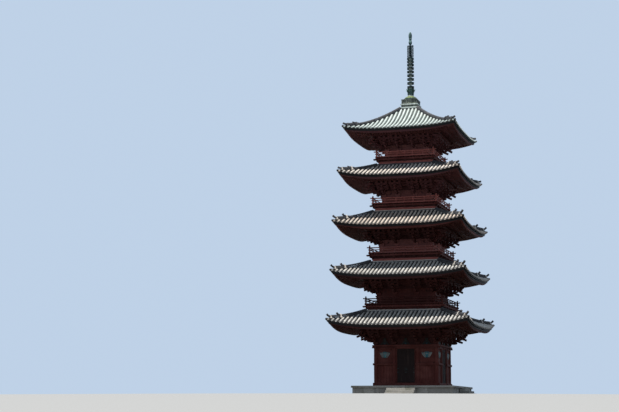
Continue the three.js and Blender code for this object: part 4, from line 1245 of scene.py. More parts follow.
def balcony(storey, below):
    """Boards round the waist between two rails, posts and arms that carry the floor, and the floor:
    edge beams with crossing noses under two layers of boards."""
    number = storey.number
    floor = storey.floor
    edge = storey.post + FLOOR_LIP
    under = floor - FLOOR_THICK
    beam_low = under - BEAM_DEEP
    waist_low = purlin_top(below) + 0.30
    wall, front = below.waist - 0.02, below.waist - 0.01
    board_top = below.top + WAIST_BOARD
    waist = Heap(110 + number)
    waist.add(square_ring(wall - 0.10, wall, waist_low, board_top), ring=True)
    cross_beams(waist, front, below.top - 0.02, below.top + 0.10, 0.08, 0.02)
    cross_beams(waist, front, board_top - 0.04, board_top + 0.015, 0.10, 0.02)
    # The waist boards take a lighter copy of the red paint from the third storey up: painted light in the
    # shade of the balcony.
    fading_and_painted_light = finish(WAIST_PAINTED_LIGHT[number])
    waist.piece(f"balcony_{number}_waist", fading_and_painted_light, "red_timber", (f"balcony_{number}",))

    arms = Heap(115 + number)
    arms.add(square_ring(wall - 0.10, wall - 0.03, board_top - 0.01, under), ring=True)
    cross_beams(arms, front - 0.01, beam_low - 0.10, beam_low - 0.01, 0.09, 0.04)
    along = np.array([-1, -0.62, -0.31, 0, 0.31, 0.62, 1]) * (below.waist - 0.03)
    arms.add(four_sides(square_posts(points_of(along, -front, 0.0), 0.05, board_top, beam_low)))
    blocks = points_of(along, -(below.waist + 0.05), beam_low - 0.13)
    arms.add(four_sides(bearing_blocks(blocks, OUT, ALONG, 0.09, 0.12)))
    lift = UP * (beam_low - 0.055)
    start, end = points_of(along, -wall, 0.0) + lift, points_of(along, -(storey.post + 0.05), 0.0) + lift
    arms.add(four_sides(bars(start, end, 0.10, 0.10, 0.008)))
    # Arms, posts, blocks and the waist strip under the floor take the dark paint: painted shade of the
    # floor's overhang.
    arms.piece(f"balcony_{number}_arms", finish("dark_timber"), "red_timber", (f"balcony_{number}",))

    boards = Heap(120 + number)
    cross_beams(boards, storey.post, beam_low, under, 0.13, NOSE_REACH)
    nose_tips(boards, storey, beam_low, under)
    half = int((edge - 0.10) / FLOOR_BOARD_PITCH)
    x = np.arange(-half, half + 1) * FLOOR_BOARD_PITCH
    inner = np.maximum(storey.body - 0.15, np.abs(x))
    for z0, z1, reach, width in (
        (under, under + 0.055, edge - 0.02, 0.09), (floor - 0.05, floor, edge, 0.20),
    ):
        start = points_of(x, -reach, (z0 + z1) / 2)
        end = points_of(x, -inner + 0.02, (z0 + z1) / 2)
        boards.add(four_sides(bars(start, end, width, z1 - z0, 0.006)))
    cross_beams(boards, edge - 0.025, floor - 0.052, floor + 0.004, 0.05, 0.02)
    boards.piece(f"balcony_{number}_floor", finish("red_timber"), "red_timber", (f"balcony_{number}",))


def nose_tips(heap, storey, low, high):
    """The ends of the edge beams past the corners, turned up a little."""
    start = storey.post + NOSE_REACH - 0.06
    x = start + np.array([0.0, 0.05, 0.09])
    z = (low + high) / 2 + np.array([0.0, 0.005, 0.03])
    path = points_of(x, -storey.post, z)[None]
    tips = sweep(path, rectangle(0.12, high - low - 0.01, 0.012), (1.0, 0.95, 0.62))
    heap.add(four_sides(tips))
    heap.add(four_sides(tips * [-1, 1, 1]))


def railing(storey):
    """Corner posts with caps, mid posts, blocks and three rails that cross at the corners, the
    round top rail turned up at its ends."""
    floor, post = storey.floor, storey.post
    number = storey.number
    rails = Heap(130 + number)
    rails.add(four_sides(square_posts(points_of(post, -post, 0.0), 0.055, floor, floor + 0.52)))
    cap = [(0.060, 0.515), (0.066, 0.535), (0.042, 0.55), (0.058, 0.58), (0.05, 0.605), (0.012, POST_HEIGHT)]
    rails.add(four_sides(turnings(points_of(post, -post, floor), cap, 10)))
    mids = points_of(np.array([-1, 1]) * MID_POST_SHARE * post, -post, 0.0)
    rails.add(four_sides(square_posts(mids, 0.04, floor, floor + TOP_RAIL - 0.02)))
    small = points_of(np.array([-1, 0, 1]) * SMALL_POST_SHARE * post, -post, 0.0)
    rails.add(four_sides(square_posts(small, 0.03, floor, floor + MID_RAIL_UP)))
    shares = np.array([-SMALL_POST_SHARE, -MID_POST_SHARE, 0, MID_POST_SHARE, SMALL_POST_SHARE])
    blocks = points_of(shares * post, -post, floor + MID_RAIL_UP + 0.03)
    rails.add(four_sides(bearing_blocks(blocks, OUT, ALONG, 0.045, TOP_RAIL - MID_RAIL_UP - 0.06)))
    cross_beams(rails, post, floor, floor + 0.09, 0.09, 0.10)
    cross_beams(rails, post, floor + MID_RAIL_UP - 0.03, floor + MID_RAIL_UP + 0.03, 0.075, 0.12)
    ends = points_of([-post - 0.22, -post - 0.1, post + 0.1, post + 0.22], -post, floor + TOP_RAIL)
    ends = ends + UP * np.array([0.035, 0.005, 0.005, 0.035])[:, None]
    rails.add(four_sides(sweep(ends[None], circle(0.042, 10))))
    # The rails take lighter copies of the red paint from the third storey up, painted light, and the dark
    # paint on the second, painted shade.
    rails.piece(f"railing_{number}_rails", finish(RAIL_PAINTED_LIGHT[number]), "red_timber", (f"railing_{number}",))


# Ground storey


def ground_walls():
    """Columns, boarded bays, mid rail, sill and head rail of the ground storey's corners."""
    c, d, r = COLUMN_LINE, DOOR_COLUMN, COLUMN_RADIUS
    nodes = tuple(f"{side}_corner_walls" for side in SIDES)
    frame = Heap(140)
    profile = [(0.97 * r, PODIUM_TOP), (r, PODIUM_TOP + 1.0), (0.96 * r, HEAD_BEAM)]
    x = np.array([-d, d, c])
    frame.add(four_sides(turnings(points_of(x, -c, 0.0), profile, 24)))
    out = c + r + 0.03
    for sign in (-1, 1):
        start = sign * (d - r)
        # At each corner one side's rails pass and the next side's stop short of them.
        end = sign * (out + (0.06 if sign > 0 else -0.05))
        for z0, z1, thick in ((PODIUM_TOP, SILL_TOP, 0.20), (MID_RAIL - 0.075, MID_RAIL + 0.075, 0.13)):
            reach = out - thick / 2
            first = points_of(start, -reach, (z0 + z1) / 2)
            last = points_of(end, -reach, (z0 + z1) / 2)
            frame.add(four_sides(bars(first, last, thick, z1 - z0, 0.012)))
        z = (DOOR_HEAD + HEAD_BEAM) / 2
        first, last = points_of(start, -(c + 0.11), z), points_of(sign * c, -(c + 0.11), z)
        frame.add(four_sides(bars(first, last, 0.12, HEAD_BEAM - DOOR_HEAD, 0.01)))
    frame.piece("ground_columns_and_rails", finish("red_timber"), "red_timber", nodes)

    panels = Heap(141)
    for x0, x1 in ((-c, -d), (d, c)):
        inner0, inner1 = x0 + 0.9 * r, x1 - 0.9 * r
        wall_boards(panels, inner0, inner1, c + 0.03, SILL_TOP, MID_RAIL - 0.07, 0.21, 0.04)
        wall_boards(panels, inner0, inner1, c + 0.03, MID_RAIL + 0.07, HEAD_BEAM, 1.3, 0.04)
        frame_edges(panels, inner0, inner1, c + 0.055, MID_RAIL + 0.075, DOOR_HEAD)
        back = boxes([[x0 - 0.05, -(c + 0.01), PODIUM_TOP]], [[x1 + 0.05, -(c - 0.05), HEAD_BEAM]])
        panels.add(four_sides(back))
    panels.piece("ground_panels", finish("red_timber"), "red_timber", nodes)


def frame_edges(heap, x0, x1, reach, low, high):
    """A narrow moulding round a panel."""
    wide = 0.05
    for z in (low + wide / 2, high - wide / 2):
        heap.add(four_sides(bars(points_of(x0, -reach, z), points_of(x1, -reach, z), 0.03, wide, 0.006)))
    for x in (x0 + wide / 2, x1 - wide / 2):
        low_corner = [x - wide / 2, -reach - 0.015, low]
        high_corner = [x + wide / 2, -reach + 0.015, high]
        heap.add(four_sides(boxes([low_corner], [high_corner], 0.004)))


def fan_ornaments():
    """A carved, painted fan in each side bay: petals that spread upwards from a narrow foot, the
    middle ones teal and the outer ones pale, over a backing plate, with a bright boss."""
    middle = (COLUMN_LINE + DOOR_COLUMN) / 2
    spots = points_of(np.array([-middle, middle]), -(COLUMN_LINE + 0.062), FAN_LOW)
    shares = ((0.42, 0.0), (0.60, 0.30), (0.96, 0.76), (0.84, 0.86), (0.5, 0.86), (0.2, 0.94))
    half = [(FAN_MOUTH * a, FAN_TALL * b) for a, b in shares]
    back = Heap(150)
    back.add(four_sides(plates(half + [(-a, b) for a, b in half[::-1]], spots, ALONG, UP, 0.03)))
    # The backing plates take the dark grey-green: painted shade under the eave.
    back.piece("fan_plates", finish("grey_green_painted_shade"), "red_timber")
    pale, teal = Heap(151), Heap(152)
    share = np.linspace(0, 1, 5)
    for turn in np.linspace(-1, 1, 9):
        foot = np.array([turn * FAN_FOOT * 0.9, 0.03])
        tip = np.array([turn * FAN_MOUTH, FAN_TALL * (0.98 - 0.14 * abs(turn))])
        along = (tip - foot) / np.linalg.norm(tip - foot)
        aside = np.array([along[1], -along[0]])
        width = np.array([0.012, 0.020, 0.032, 0.038, 0.012])[:, None]
        line = foot + (tip - foot) * share[:, None]
        petal = np.concatenate([line + aside * width, (line - aside * width)[::-1]])
        heap = teal if abs(turn) < 0.4 else pale
        heap.add(four_sides(plates(petal, spots + OUT * 0.025, ALONG, UP, 0.03)))
    boss = spots[:, None] + OUT * np.array([0.01, 0.05, 0.065])[:, None] + UP * 0.66 * FAN_TALL
    pale.add(four_sides(sweep(boss, circle(0.07, 12), (1.0, 0.9, 0.5))))
    pale.piece("fan_wings", finish("pale_paint"), "red_timber")
    teal.piece("fan_petals", finish("teal"), "red_timber")


def doorways():
    """Threshold, jambs and head in each doorway, with stops behind the leaves and, where the pair
    stays shut, a batten behind the joint."""
    reach = DOOR_COLUMN - COLUMN_RADIUS - SEAT_GAP
    outer, inner = COLUMN_LINE + COLUMN_RADIUS, COLUMN_LINE - COLUMN_RADIUS
    for quarter, side in enumerate(SIDES):
        heap = Heap(160 + quarter)
        low = [[-reach, -outer, PODIUM_TOP], [-reach, -COLUMN_LINE - 0.09, DOOR_HEAD]]
        high = [[reach, -inner, SILL_TOP], [reach, -COLUMN_LINE, HEAD_BEAM]]
        heap.add(turned(boxes(low, high, 0.01), quarter))
        for x in (-reach + JAMB / 2, reach - JAMB / 2):
            low = [[x - JAMB / 2, -COLUMN_LINE - 0.09, SILL_TOP]]
            high = [[x + JAMB / 2, -COLUMN_LINE, DOOR_HEAD]]
            heap.add(turned(boxes(low, high, 0.006), quarter))
        stop, back = LEAF_EDGE - STOP_CLEAR, -COLUMN_LINE - STOP_THICK
        low = [[-stop, back, DOOR_HEAD - STOP_DEEP], [-stop, back, SILL_TOP]]
        high = [[stop, -COLUMN_LINE, DOOR_HEAD], [stop, -COLUMN_LINE, SILL_TOP + STOP_DEEP]]
        heap.add(turned(boxes(low, high, 0.003), quarter))
        if f"{side}_door_left" not in FRAME["bodies"]:
            batten = boxes([[-0.03, back, SILL_TOP]], [[0.03, -COLUMN_LINE, DOOR_HEAD]], 0.003)
            heap.add(turned(batten, quarter))
        heap.piece(f"{side}_door_frame", finish("red_timber"), "red_timber", (f"{side}_doorway",))


def door_leaf(heap, fittings, side, quarter):
    """A framed leaf with panels in both faces, its pivot, studs on the rails and a ring pull."""
    y = -LEAF_LINE
    x0, x1 = sorted((side * 0.005, side * LEAF_EDGE))
    half = LEAF_THICK / 2
    stile, rail = 0.11, 0.12
    rails = (LEAF_LOW, LEAF_LOW + 0.72, LEAF_LOW + 1.02, LEAF_HIGH - rail)
    for x in (x0, x1 - stile):
        low, high = [[x, y - half, LEAF_LOW]], [[x + stile, y + half, LEAF_HIGH]]
        heap.add(turned(boxes(low, high, 0.006), quarter))
    middle = (x0 + x1) / 2
    for z in rails:
        low = [[x0 + stile, y - half + 0.002, z]]
        high = [[x1 - stile, y + half - 0.002, z + rail]]
        heap.add(turned(boxes(low, high, 0.006), quarter))
    low = [[middle - 0.035, y - half + 0.004, rails[2]]]
    high = [[middle + 0.035, y + half - 0.004, rails[3]]]
    heap.add(turned(boxes(low, high, 0.006), quarter))
    low, high = [[x0 + 0.05, y - 0.011, LEAF_LOW + 0.05]], [[x1 - 0.05, y + 0.011, LEAF_HIGH - 0.05]]
    heap.add(turned(boxes(low, high), quarter))
    pivot = points_of(side * (LEAF_EDGE - PIVOT_IN), y, 0.0)
    profile = [(0.0195, SILL_TOP + 0.0005), (0.0195, DOOR_HEAD - 0.0005)]
    heap.add(turned(turnings(pivot, profile, 10), quarter))
    for z in (rails[1] + rail / 2, rails[2] + rail / 2):
        for x in (x0 + stile / 2, x1 - stile / 2):
            centre = points_of(x, y - half, z) + OUT * np.array([-0.004, 0.004, 0.008])[:, None]
            fittings.add(turned(sweep(centre[None], circle(0.022, 10), (1.0, 0.9, 0.4)), quarter))
    angle = np.linspace(0, 2 * math.pi, 17)[:-1]
    centre = np.array([side * (0.005 + stile / 2), y - half - 0.008, rails[2] - 0.06])
    ring = centre + 0.035 * np.stack([np.cos(angle), 0 * angle, np.sin(angle)], -1)
    tube = circle(0.005, 6)
    outward = unit(ring - centre)
    shape = ring[:, None] + outward[:, None] * tube[:, :1] + OUT * tube[:, 1:]
    fittings.add(turned(shape[None], quarter), ring=True)


def hang_doors():
    """Door leaves: the front and right pairs ride on bodies of their own."""
    for quarter, side in enumerate(SIDES):
        for sign, hand in ((-1, "left"), (1, "right")):
            leaf = f"{side}_door_{hand}"
            moves = leaf in FRAME["bodies"]
            heap, fittings = Heap(170 + 2 * quarter + sign), Heap(180 + 2 * quarter + sign)
            door_leaf(heap, fittings, sign, quarter)
            body = leaf if moves else "root"
            stands_for = leaf if moves else f"{side}_doors"
            heap.piece(f"{leaf}_leaf", finish("door_timber"), "door_timber", (stands_for,), body)
            fittings.piece(f"{leaf}_fittings", finish("bronze"), "bronze", (), body)


def head_beams():
    """Head beams with crossing noses, and the plate that carries the brackets."""
    heap = Heap(190)
    cross_beams(heap, COLUMN_LINE, HEAD_BEAM, PLATE, COLUMN_RADIUS, 0.30)
    heap.add(square_ring(COLUMN_LINE - 0.16, COLUMN_LINE + 0.24, PLATE, PLATE + 0.11), ring=True)
    heap.piece("head_beams_and_plate", finish("red_timber"), "red_timber", ("head_beams",))


def inner_timbers():
    """The ground floor's boards and the heart pillar."""
    inside = COLUMN_LINE - COLUMN_RADIUS - SEAT_GAP
    floor = Heap(191)
    edges = np.linspace(-inside, inside, 21)
    low = points_of(-inside, edges[:-1] + 0.002, FLOOR_TOP - 0.06)
    high = points_of(inside, edges[1:] - 0.002, FLOOR_TOP)
    floor.add(boxes(low, high, 0.004))
    floor.add(boxes([[-inside, -inside, PODIUM_TOP]], [[inside, inside, FLOOR_TOP - 0.06]]))
    floor.piece("ground_floor_boards", finish("dark_timber"), "dark_timber", ("ground_floor",))
    pillar = Heap(192)
    pillar.add(square_posts(AXIS, PILLAR_HALF, FLOOR_TOP, ROBAN_TOP - 0.20, 0.05))
    pillar.piece("heart_pillar_timber", finish("dark_timber"), "dark_timber", ("heart_pillar",))


# Stonework


def stone_row(heap, x0, x1, outer, inner, low, high, count):
    """A course of equal stones along the front, with open joints."""
    edges = np.linspace(x0, x1, count + 1)
    start = points_of(edges[:-1] + STONE_JOINT, -outer, low)
    end = points_of(edges[1:] - STONE_JOINT, -inner, high)
    heap.add(four_sides(boxes(start, end, 0.01)))


def podium_stones():
    """Base course, upright panels between short posts, coping stones and the paving."""
    half, wide = PODIUM_HALF, PODIUM_HALF + COPING_OUT
    inner = wide - 0.45
    heap = Heap(200)
    core = half - 0.05
    heap.add(boxes([[-core, -core, 0.0]], [[core, core, PODIUM_TOP - 0.08]]))
    base_top, cope_low = 0.16, PODIUM_TOP - COPING_THICK
    stone_row(heap, -half, half - 0.32, half, half - 0.3, 0.0, base_top, 8)
    stone_row(heap, -half + 0.02, half - 0.20, half - 0.03, half - 0.2, base_top, cope_low, 9)
    stone_row(heap, -wide, inner, wide, inner, cope_low, PODIUM_TOP, 7)
    posts = points_of(np.linspace(-1, 1, 5)[:-1] * (half - 0.11), -(half - 0.11), 0.0)
    heap.add(four_sides(square_posts(posts, 0.11, base_top, cope_low)))
    edges = np.linspace(-inner, inner, 13)
    for row in range(12):
        shift = 0.5 * (row % 2) * (edges[1] - edges[0])
        x = np.clip(np.concatenate([edges, edges[-1:] + 0.6]) - shift, -inner, inner)
        x0, x1 = x[:-1][np.diff(x) > 0.05], x[1:][np.diff(x) > 0.05]
        low = points_of(x0 + STONE_JOINT, edges[row] + STONE_JOINT, PODIUM_TOP - 0.08)
        high = points_of(x1 - STONE_JOINT, edges[row + 1] - STONE_JOINT, PODIUM_TOP - 0.002)
        heap.add(boxes(low, high, 0.006))
    heap.piece("podium_stones", finish("stone"), "stone", ("podium",))


def step_stones():
    """Four treads before each doorway, two stones to a tread."""
    rise = PODIUM_TOP / (STEP_COUNT + 1)
    start = PODIUM_HALF + COPING_OUT
    for quarter, side in enumerate(SIDES):
        heap = Heap(210 + quarter)
        for i in range(STEP_COUNT):
            outer = start + (STEP_COUNT - i) * STEP_TREAD
            inner = PODIUM_HALF + 0.001
            edges = np.array([-STEP_HALF, (-0.3, 0.25, -0.15, 0.35)[i], STEP_HALF])
            low = points_of(edges[:-1] + 0.002, -outer, i * rise)
            high = points_of(edges[1:] - 0.002, -inner, (i + 1) * rise)
            heap.add(turned(boxes(low, high, 0.012), quarter))
        heap.piece(f"{side}_step_stones", finish("stone"), "stone", (f"{side}_steps",))


# Spire


def roban():
    """The box under the spire: a recessed foot between two pale ledges, a panelled body and a lid."""
    heap, ledges = Heap(220), Heap(226)
    foot = STOREYS[-1].top
    body_low, body_high, lid = ROBAN_BOX + 0.02, ROBAN_TOP - 0.09, ROBAN_TOP - 0.045
    for half, low, high in (
        (ROBAN_BASE_HALF - 0.06, foot + 0.07, ROBAN_BOX - 0.07), (ROBAN_HALF - 0.03, body_low, body_high),
    ):
        heap.add(square_ring(PILLAR_HOLE, half, low, high), ring=True)
    for half, low, high in ((ROBAN_HALF, body_high, lid), (ROBAN_HALF + 0.02, lid, ROBAN_TOP)):
        heap.add(square_posts(AXIS, half, low, high, 0.01))
    posts = points_of(np.array([-1.0, -0.34, 0.34]) * (ROBAN_HALF - 0.05), -(ROBAN_HALF - 0.04), 0.0)
    heap.add(four_sides(square_posts(posts, 0.045, body_low, body_high)))
    for z in (body_low + 0.04, body_high - 0.04):
        cross_beams(heap, ROBAN_HALF - 0.02, z - 0.03, z + 0.03, 0.03, 0.0)
    heap.piece("roban_box", finish("grey_bronze"), "bronze", ("roban",))
    for half, low, high in (
        (ROBAN_BASE_HALF, foot + 0.001, foot + 0.07), (ROBAN_BASE_HALF, ROBAN_BOX - 0.07, body_low),
    ):
        ledges.add(square_ring(PILLAR_HOLE, half, low, high), ring=True)
    ledges.piece("roban_ledges", finish("pale_bronze"), "bronze", ("roban",))


def petal_row(heap, count, low, high, foot, mouth, width, turn):
    """Petals of a flower that opens upwards: each a curved leaf that widens and then comes to a
    point, thickened inwards."""
    t = np.linspace(0, 1, 7)
    radius = foot + (mouth - foot) * t ** 1.6
    height = low + (high - low) * t
    spread = width * np.sin(math.pi * (0.18 + 0.80 * t)) + 0.01
    u = np.linspace(-1, 1, 5)
    for k in range(count):
        a = 2 * math.pi * k / count + turn
        out = np.array([math.cos(a), math.sin(a), 0.0])
        aside = np.array([-math.sin(a), math.cos(a), 0.0])
        bulge = radius[:, None] - 0.25 * spread[:, None] * u ** 2
        face = out * bulge[..., None] + aside * (spread[:, None] * u)[..., None] + UP * height[:, None, None]
        back = face - out * 0.02
        heap.add(np.concatenate([face, back[:, ::-1]], 1)[None])


def dome_and_lotus():
    """The inverted bowl with its raised band, and the two rows of petals over it."""
    heap = Heap(221)
    r = DOME_RADIUS
    dome = [
        (r, ROBAN_TOP), (r * 1.02, ROBAN_TOP + 0.03), (r, ROBAN_TOP + 0.09), (r * 0.96, ROBAN_TOP + 0.15),
        (r * 0.88, ROBAN_TOP + 0.21), (r * 0.75, ROBAN_TOP + 0.26), (r * 0.6, ROBAN_TOP + 0.30),
        (r * 0.5, ROBAN_TOP + 0.325),
    ]
    heap.add(turnings(AXIS, dome, 32))
    band = [
        (r * 0.9, ROBAN_TOP + 0.10), (r * 1.03, ROBAN_TOP + 0.105),
        (r * 1.03, ROBAN_TOP + 0.13), (r * 0.9, ROBAN_TOP + 0.135),
    ]
    heap.add(turnings(AXIS, band, 32))
    heap.piece("dome_bowl", finish("mossy_bronze"), "bronze", ("dome_and_lotus",))
    lotus = Heap(222)
    core = [
        (0.16, LOTUS - 0.07), (0.25, LOTUS - 0.04), (0.26, LOTUS + 0.08), (0.20, LOTUS + 0.16),
        (0.25, LOTUS + 0.3), (0.27, LOTUS_TOP - 0.06), (0.26, LOTUS_TOP - 0.01), (0.07, LOTUS_TOP),
    ]
    lotus.add(turnings(AXIS, core, 24))
    petal_row(lotus, 8, LOTUS + 0.05, LOTUS_TOP - 0.07, 0.24, 0.40, 0.13, 0.0)
    petal_row(lotus, 8, LOTUS + 0.07, LOTUS_TOP - 0.01, 0.22, 0.32, 0.125, math.pi / 8)
    lotus.piece("lotus_petals", finish("bronze"), "bronze", ("dome_and_lotus",))
    # The foot under the petals takes the pale bronze: a painted highlight on its rim.
    disc = Heap(227)
    disc.add(turnings(AXIS, [
        (0.20, LOTUS - 0.20), (0.255, LOTUS - 0.175), (0.255, LOTUS - 0.10), (0.20, LOTUS - 0.06)], 24))
    disc.piece("lotus_foot", finish("pale_bronze"), "bronze", ("dome_and_lotus",))


def nine_rings():
    """Nine rings on the mast: a deep rim with a bead on each edge, eight spokes and a hub, with
    the mast swelling between them."""
    heap = Heap(223)
    share = np.linspace(0, 1, RING_COUNT)
    angle = np.arange(28) * 2 * math.pi / 28
    spoke = np.arange(8) * math.pi / 4
    heights = FIRST_RING + (LAST_RING - FIRST_RING) * (share + RING_CROWDING * share * (1 - share))
    mast = [(0.09, LOTUS_TOP - 0.01)]
    for z in heights:
        mast += [(0.10, z - 0.09), (0.13, z - 0.05), (0.13, z + 0.05), (0.10, z + 0.09)]
    mast.append((0.08, FLAME_LOW - 0.06))
    stem = Heap(228)
    stem.add(turnings(AXIS, mast, 16))
    stem.piece("spire_mast", finish("pale_bronze"), "bronze", ("nine_rings",))
    r = RING_RADIUS
    section = np.array([
        (r - 0.03, -0.065), (r - 0.005, -0.07), (r, -0.05), (r - 0.015, -0.035), (r - 0.018, 0.035),
        (r, 0.05), (r - 0.005, 0.07), (r - 0.03, 0.065), (r - 0.035, 0.0),
    ])
    for z in heights:
        rim = points_of(
            section[:, 0] * np.cos(angle)[:, None], section[:, 0] * np.sin(angle)[:, None],
            z + section[:, 1])
        heap.add(rim[None], ring=True)
        inner = points_of(0.10 * np.cos(spoke), 0.10 * np.sin(spoke), z)
        outer = points_of((r - 0.02) * np.cos(spoke), (r - 0.02) * np.sin(spoke), z)
        heap.add(bars(inner, outer, 0.03, 0.06, 0.006))
    heap.piece("spire_rings", finish("dark_bronze"), "bronze", ("nine_rings",))


def flame():
    """Four openwork flame panels on the mast: a wavy outer bar, and tongues that curl up and out
    to it from the stem, some of them turned back into a scroll."""
    heap = Heap(224)
    tall = FLAME_HIGH - FLAME_LOW
    mast = [(0.065, FLAME_LOW - 0.06), (0.065, FLAME_LOW), (0.045, FLAME_HIGH), (0.05, FLAME_HIGH + 0.08)]
    heap.add(turnings(AXIS, mast, 12))
    t = np.linspace(0, 1, 25)
    rim = FLAME_REACH - 0.020 - 0.012 * np.cos(10 * math.pi * t) - 0.10 * np.clip(t - 0.9, 0, 1) / 0.1
    bar = points_of(rim, 0.0, FLAME_LOW + 0.02 + (tall - 0.04) * t)
    heap.add(four_sides(sweep_upright(bar, 0.028, 8)[None]))
    t = np.linspace(0, 1, 11)
    for level in np.linspace(0.0, 0.80, FLAME_TONGUES):
        reach = FLAME_REACH - 0.045
        x = 0.03 + reach * np.sin(0.5 * math.pi * t) ** 1.3
        z = FLAME_LOW + 0.01 + tall * (level + 0.15 * t ** 1.6)
        heap.add(four_sides(sweep_upright(points_of(x, 0.0, z), 0.030, 8)[None]))
        turn = np.linspace(0.2, 1.9, 11) * math.pi
        z = FLAME_LOW + 0.12 + tall * level + 0.04 * np.sin(turn)
        scroll = points_of(0.5 * FLAME_REACH + 0.045 * np.cos(turn), 0.0, z)
        heap.add(four_sides(sweep_upright(scroll, 0.024, 8)[None]))
    heap.piece("flame_plates", finish("dark_bronze"), "bronze", ("flame",))


def sweep_upright(path, radius, sides):
    """A round tube along a path in the plane y = 0."""
    tangent = unit(np.gradient(path, axis=0))
    side = np.cross(tangent, np.array([0.0, 1.0, 0.0]))
    ring = circle(radius, sides)
    return path[:, None] + side[:, None] * ring[:, :1] + np.array([0.0, 1.0, 0.0]) * ring[:, 1:]


def wheel_and_jewel():
    """The small wheel and the jewel that ends in a point."""
    heap = Heap(225)
    profile = [
        (0.05, FLAME_HIGH - 0.02), (0.09, WHEEL - 0.16), (0.12, WHEEL - 0.10), (0.14, WHEEL - 0.03),
        (0.14, WHEEL + 0.03), (0.12, WHEEL + 0.10), (0.105, WHEEL + 0.16), (0.105, JEWEL - 0.24),
        (0.13, JEWEL - 0.18), (0.11, JEWEL - 0.13), (0.13, JEWEL - 0.08), (0.14, JEWEL),
        (0.14, JEWEL + 0.10), (0.125, JEWEL + 0.20), (0.09, JEWEL + 0.30), (0.045, JEWEL + 0.37),
        (0.02, TIP - 0.02), (0.003, TIP),
    ]
    heap.add(turnings(AXIS, profile, 20))
    heap.piece("jewel_and_wheel", finish("bronze"), "bronze", ("jewel",))


# Stage


def floor_finish(stage):
    """Pale to the eye, while the light that it throws back is that of darker ground."""
    material = bpy.data.materials.new("pale_floor")
    material.use_nodes = True
    tree = material.node_tree
    pale = tree.nodes["Principled BSDF"]
    pale.inputs["Base Color"].default_value = (*stage.floor_colour, 1)
    pale.inputs["Roughness"].default_value = 0.9
    bounce = tree.nodes.new("ShaderNodeBsdfDiffuse")
    bounce.inputs["Color"].default_value = (*stage.bounce_colour, 1)
    choice = tree.nodes.new("ShaderNodeMixShader")
    rays = tree.nodes.new("ShaderNodeLightPath")
    tree.links.new(rays.outputs["Is Camera Ray"], choice.inputs[0])
    tree.links.new(bounce.outputs[0], choice.inputs[1])
    tree.links.new(pale.outputs[0], choice.inputs[2])
    tree.links.new(choice.outputs[0], tree.nodes["Material Output"].inputs[0])
    return material


def light_and_floor(stage):
    """A pale floor that falls away all round, a pale backdrop, one high light and soft fill."""
    scene = bpy.context.scene
    radii = np.concatenate([np.linspace(0.5, 14, 6), np.linspace(18, 420, 60)])
    fall = -stage.floor_fall * np.clip(radii - 12, 0, None) ** 2
    angle = np.arange(96) * 2 * math.pi / 96
    points = points_of(radii[:, None] * np.cos(angle), radii[:, None] * np.sin(angle), fall[:, None] - 0.002)
    faces = grid_faces(len(radii), len(angle), False)
    cap = [tuple(range(len(angle)))]
    mesh = bpy.data.meshes.new("floor")
    mesh.from_pydata(points.reshape(-1, 3).tolist(), [], [tuple(f[::-1]) for f in faces.tolist()] + cap)
    mesh.shade_smooth()
    floor = bpy.data.objects.new("floor", mesh)
    scene.collection.objects.link(floor)
    mesh.materials.append(floor_finish(stage))

    sun = bpy.data.lights.new("high_light", "SUN")
    sun.energy = stage.sun_strength
    sun.angle = stage.sun_softness
    sun.color = (1.0, 0.96, 0.9)
    lamp = bpy.data.objects.new("high_light", sun)
    lamp.rotation_euler = (math.pi / 2 - stage.sun_height, 0.0, stage.sun_turn)
    scene.collection.objects.link(lamp)

    world = scene.world or bpy.data.worlds.new("soft_sky")
    scene.world = world
    world.use_nodes = True
    tree = world.node_tree
    fill = tree.nodes["Background"]
    fill.inputs[0].default_value = (*stage.fill_colour, 1)
    fill.inputs[1].default_value = stage.fill_strength
    backdrop = tree.nodes.new("ShaderNodeBackground")
    backdrop.inputs[0].default_value = (*stage.backdrop_colour, 1)
    choice = tree.nodes.new("ShaderNodeMixShader")
    rays = tree.nodes.new("ShaderNodeLightPath")
    tree.links.new(rays.outputs["Is Camera Ray"], choice.inputs[0])
    tree.links.new(fill.outputs[0], choice.inputs[1])
    tree.links.new(backdrop.outputs[0], choice.inputs[2])
    tree.links.new(choice.outputs[0], tree.nodes["World Output"].inputs[0])


def set_camera(stage):
    """The photo's viewpoint: low, far off and to the right, looking up."""
    scene = bpy.context.scene
    data = bpy.data.cameras.new("camera")
    data.lens = stage.lens
    data.sensor_width = 36
    data.sensor_fit = "HORIZONTAL"
    data.clip_end = 2000
    camera = bpy.data.objects.new("camera", data)
    away, turn = stage.camera_away, stage.camera_turn
    camera.location = (away * math.sin(turn), -away * math.cos(turn), stage.camera_height)
    aim = Euler((math.pi / 2 + stage.camera_tilt, 0.0, turn + stage.camera_pan)).to_matrix()
    camera.rotation_euler = (aim @ Matrix.Rotation(stage.camera_roll, 3, "Z")).to_euler()
    scene.collection.objects.link(camera)
    scene.camera = camera
    scene.view_settings.view_transform = "Standard"


# Settings


def length_setting(name, description, default):
    """A length that isn't negative."""
    return FloatProperty(name=name, description=description, default=default, unit="LENGTH", min=0.0)


def angle_setting(name, description, degrees):
    """An angle, given in degrees."""
    return FloatProperty(name=name, description=description, default=math.radians(degrees), subtype="ANGLE")


def colour_setting(name, description, default):
    """A colour of three channels."""
    return FloatVectorProperty(
        name=name, description=description, default=default, subtype="COLOR", size=3, min=0.0, max=1.0)


class PagodaRoofs(PropertyGroup):
    """Sizes of the roof covering."""

    rib_pitch: length_setting("Rib pitch", "Distance between the ribs of a roof", 0.305)
    tile_radius: length_setting("Tile radius", "Radius of the round tiles", 0.082)
    tile_length: length_setting("Tile length", "Length that shows of each round tile", 0.30)
    pan_length: length_setting("Pan length", "Length that shows of each hollow tile", 0.20)
    batten_radius: length_setting("Batten radius", "Radius of the copper ribs", 0.078)
    sheet_length: length_setting("Sheet length", "Length of each copper sheet", 0.60)


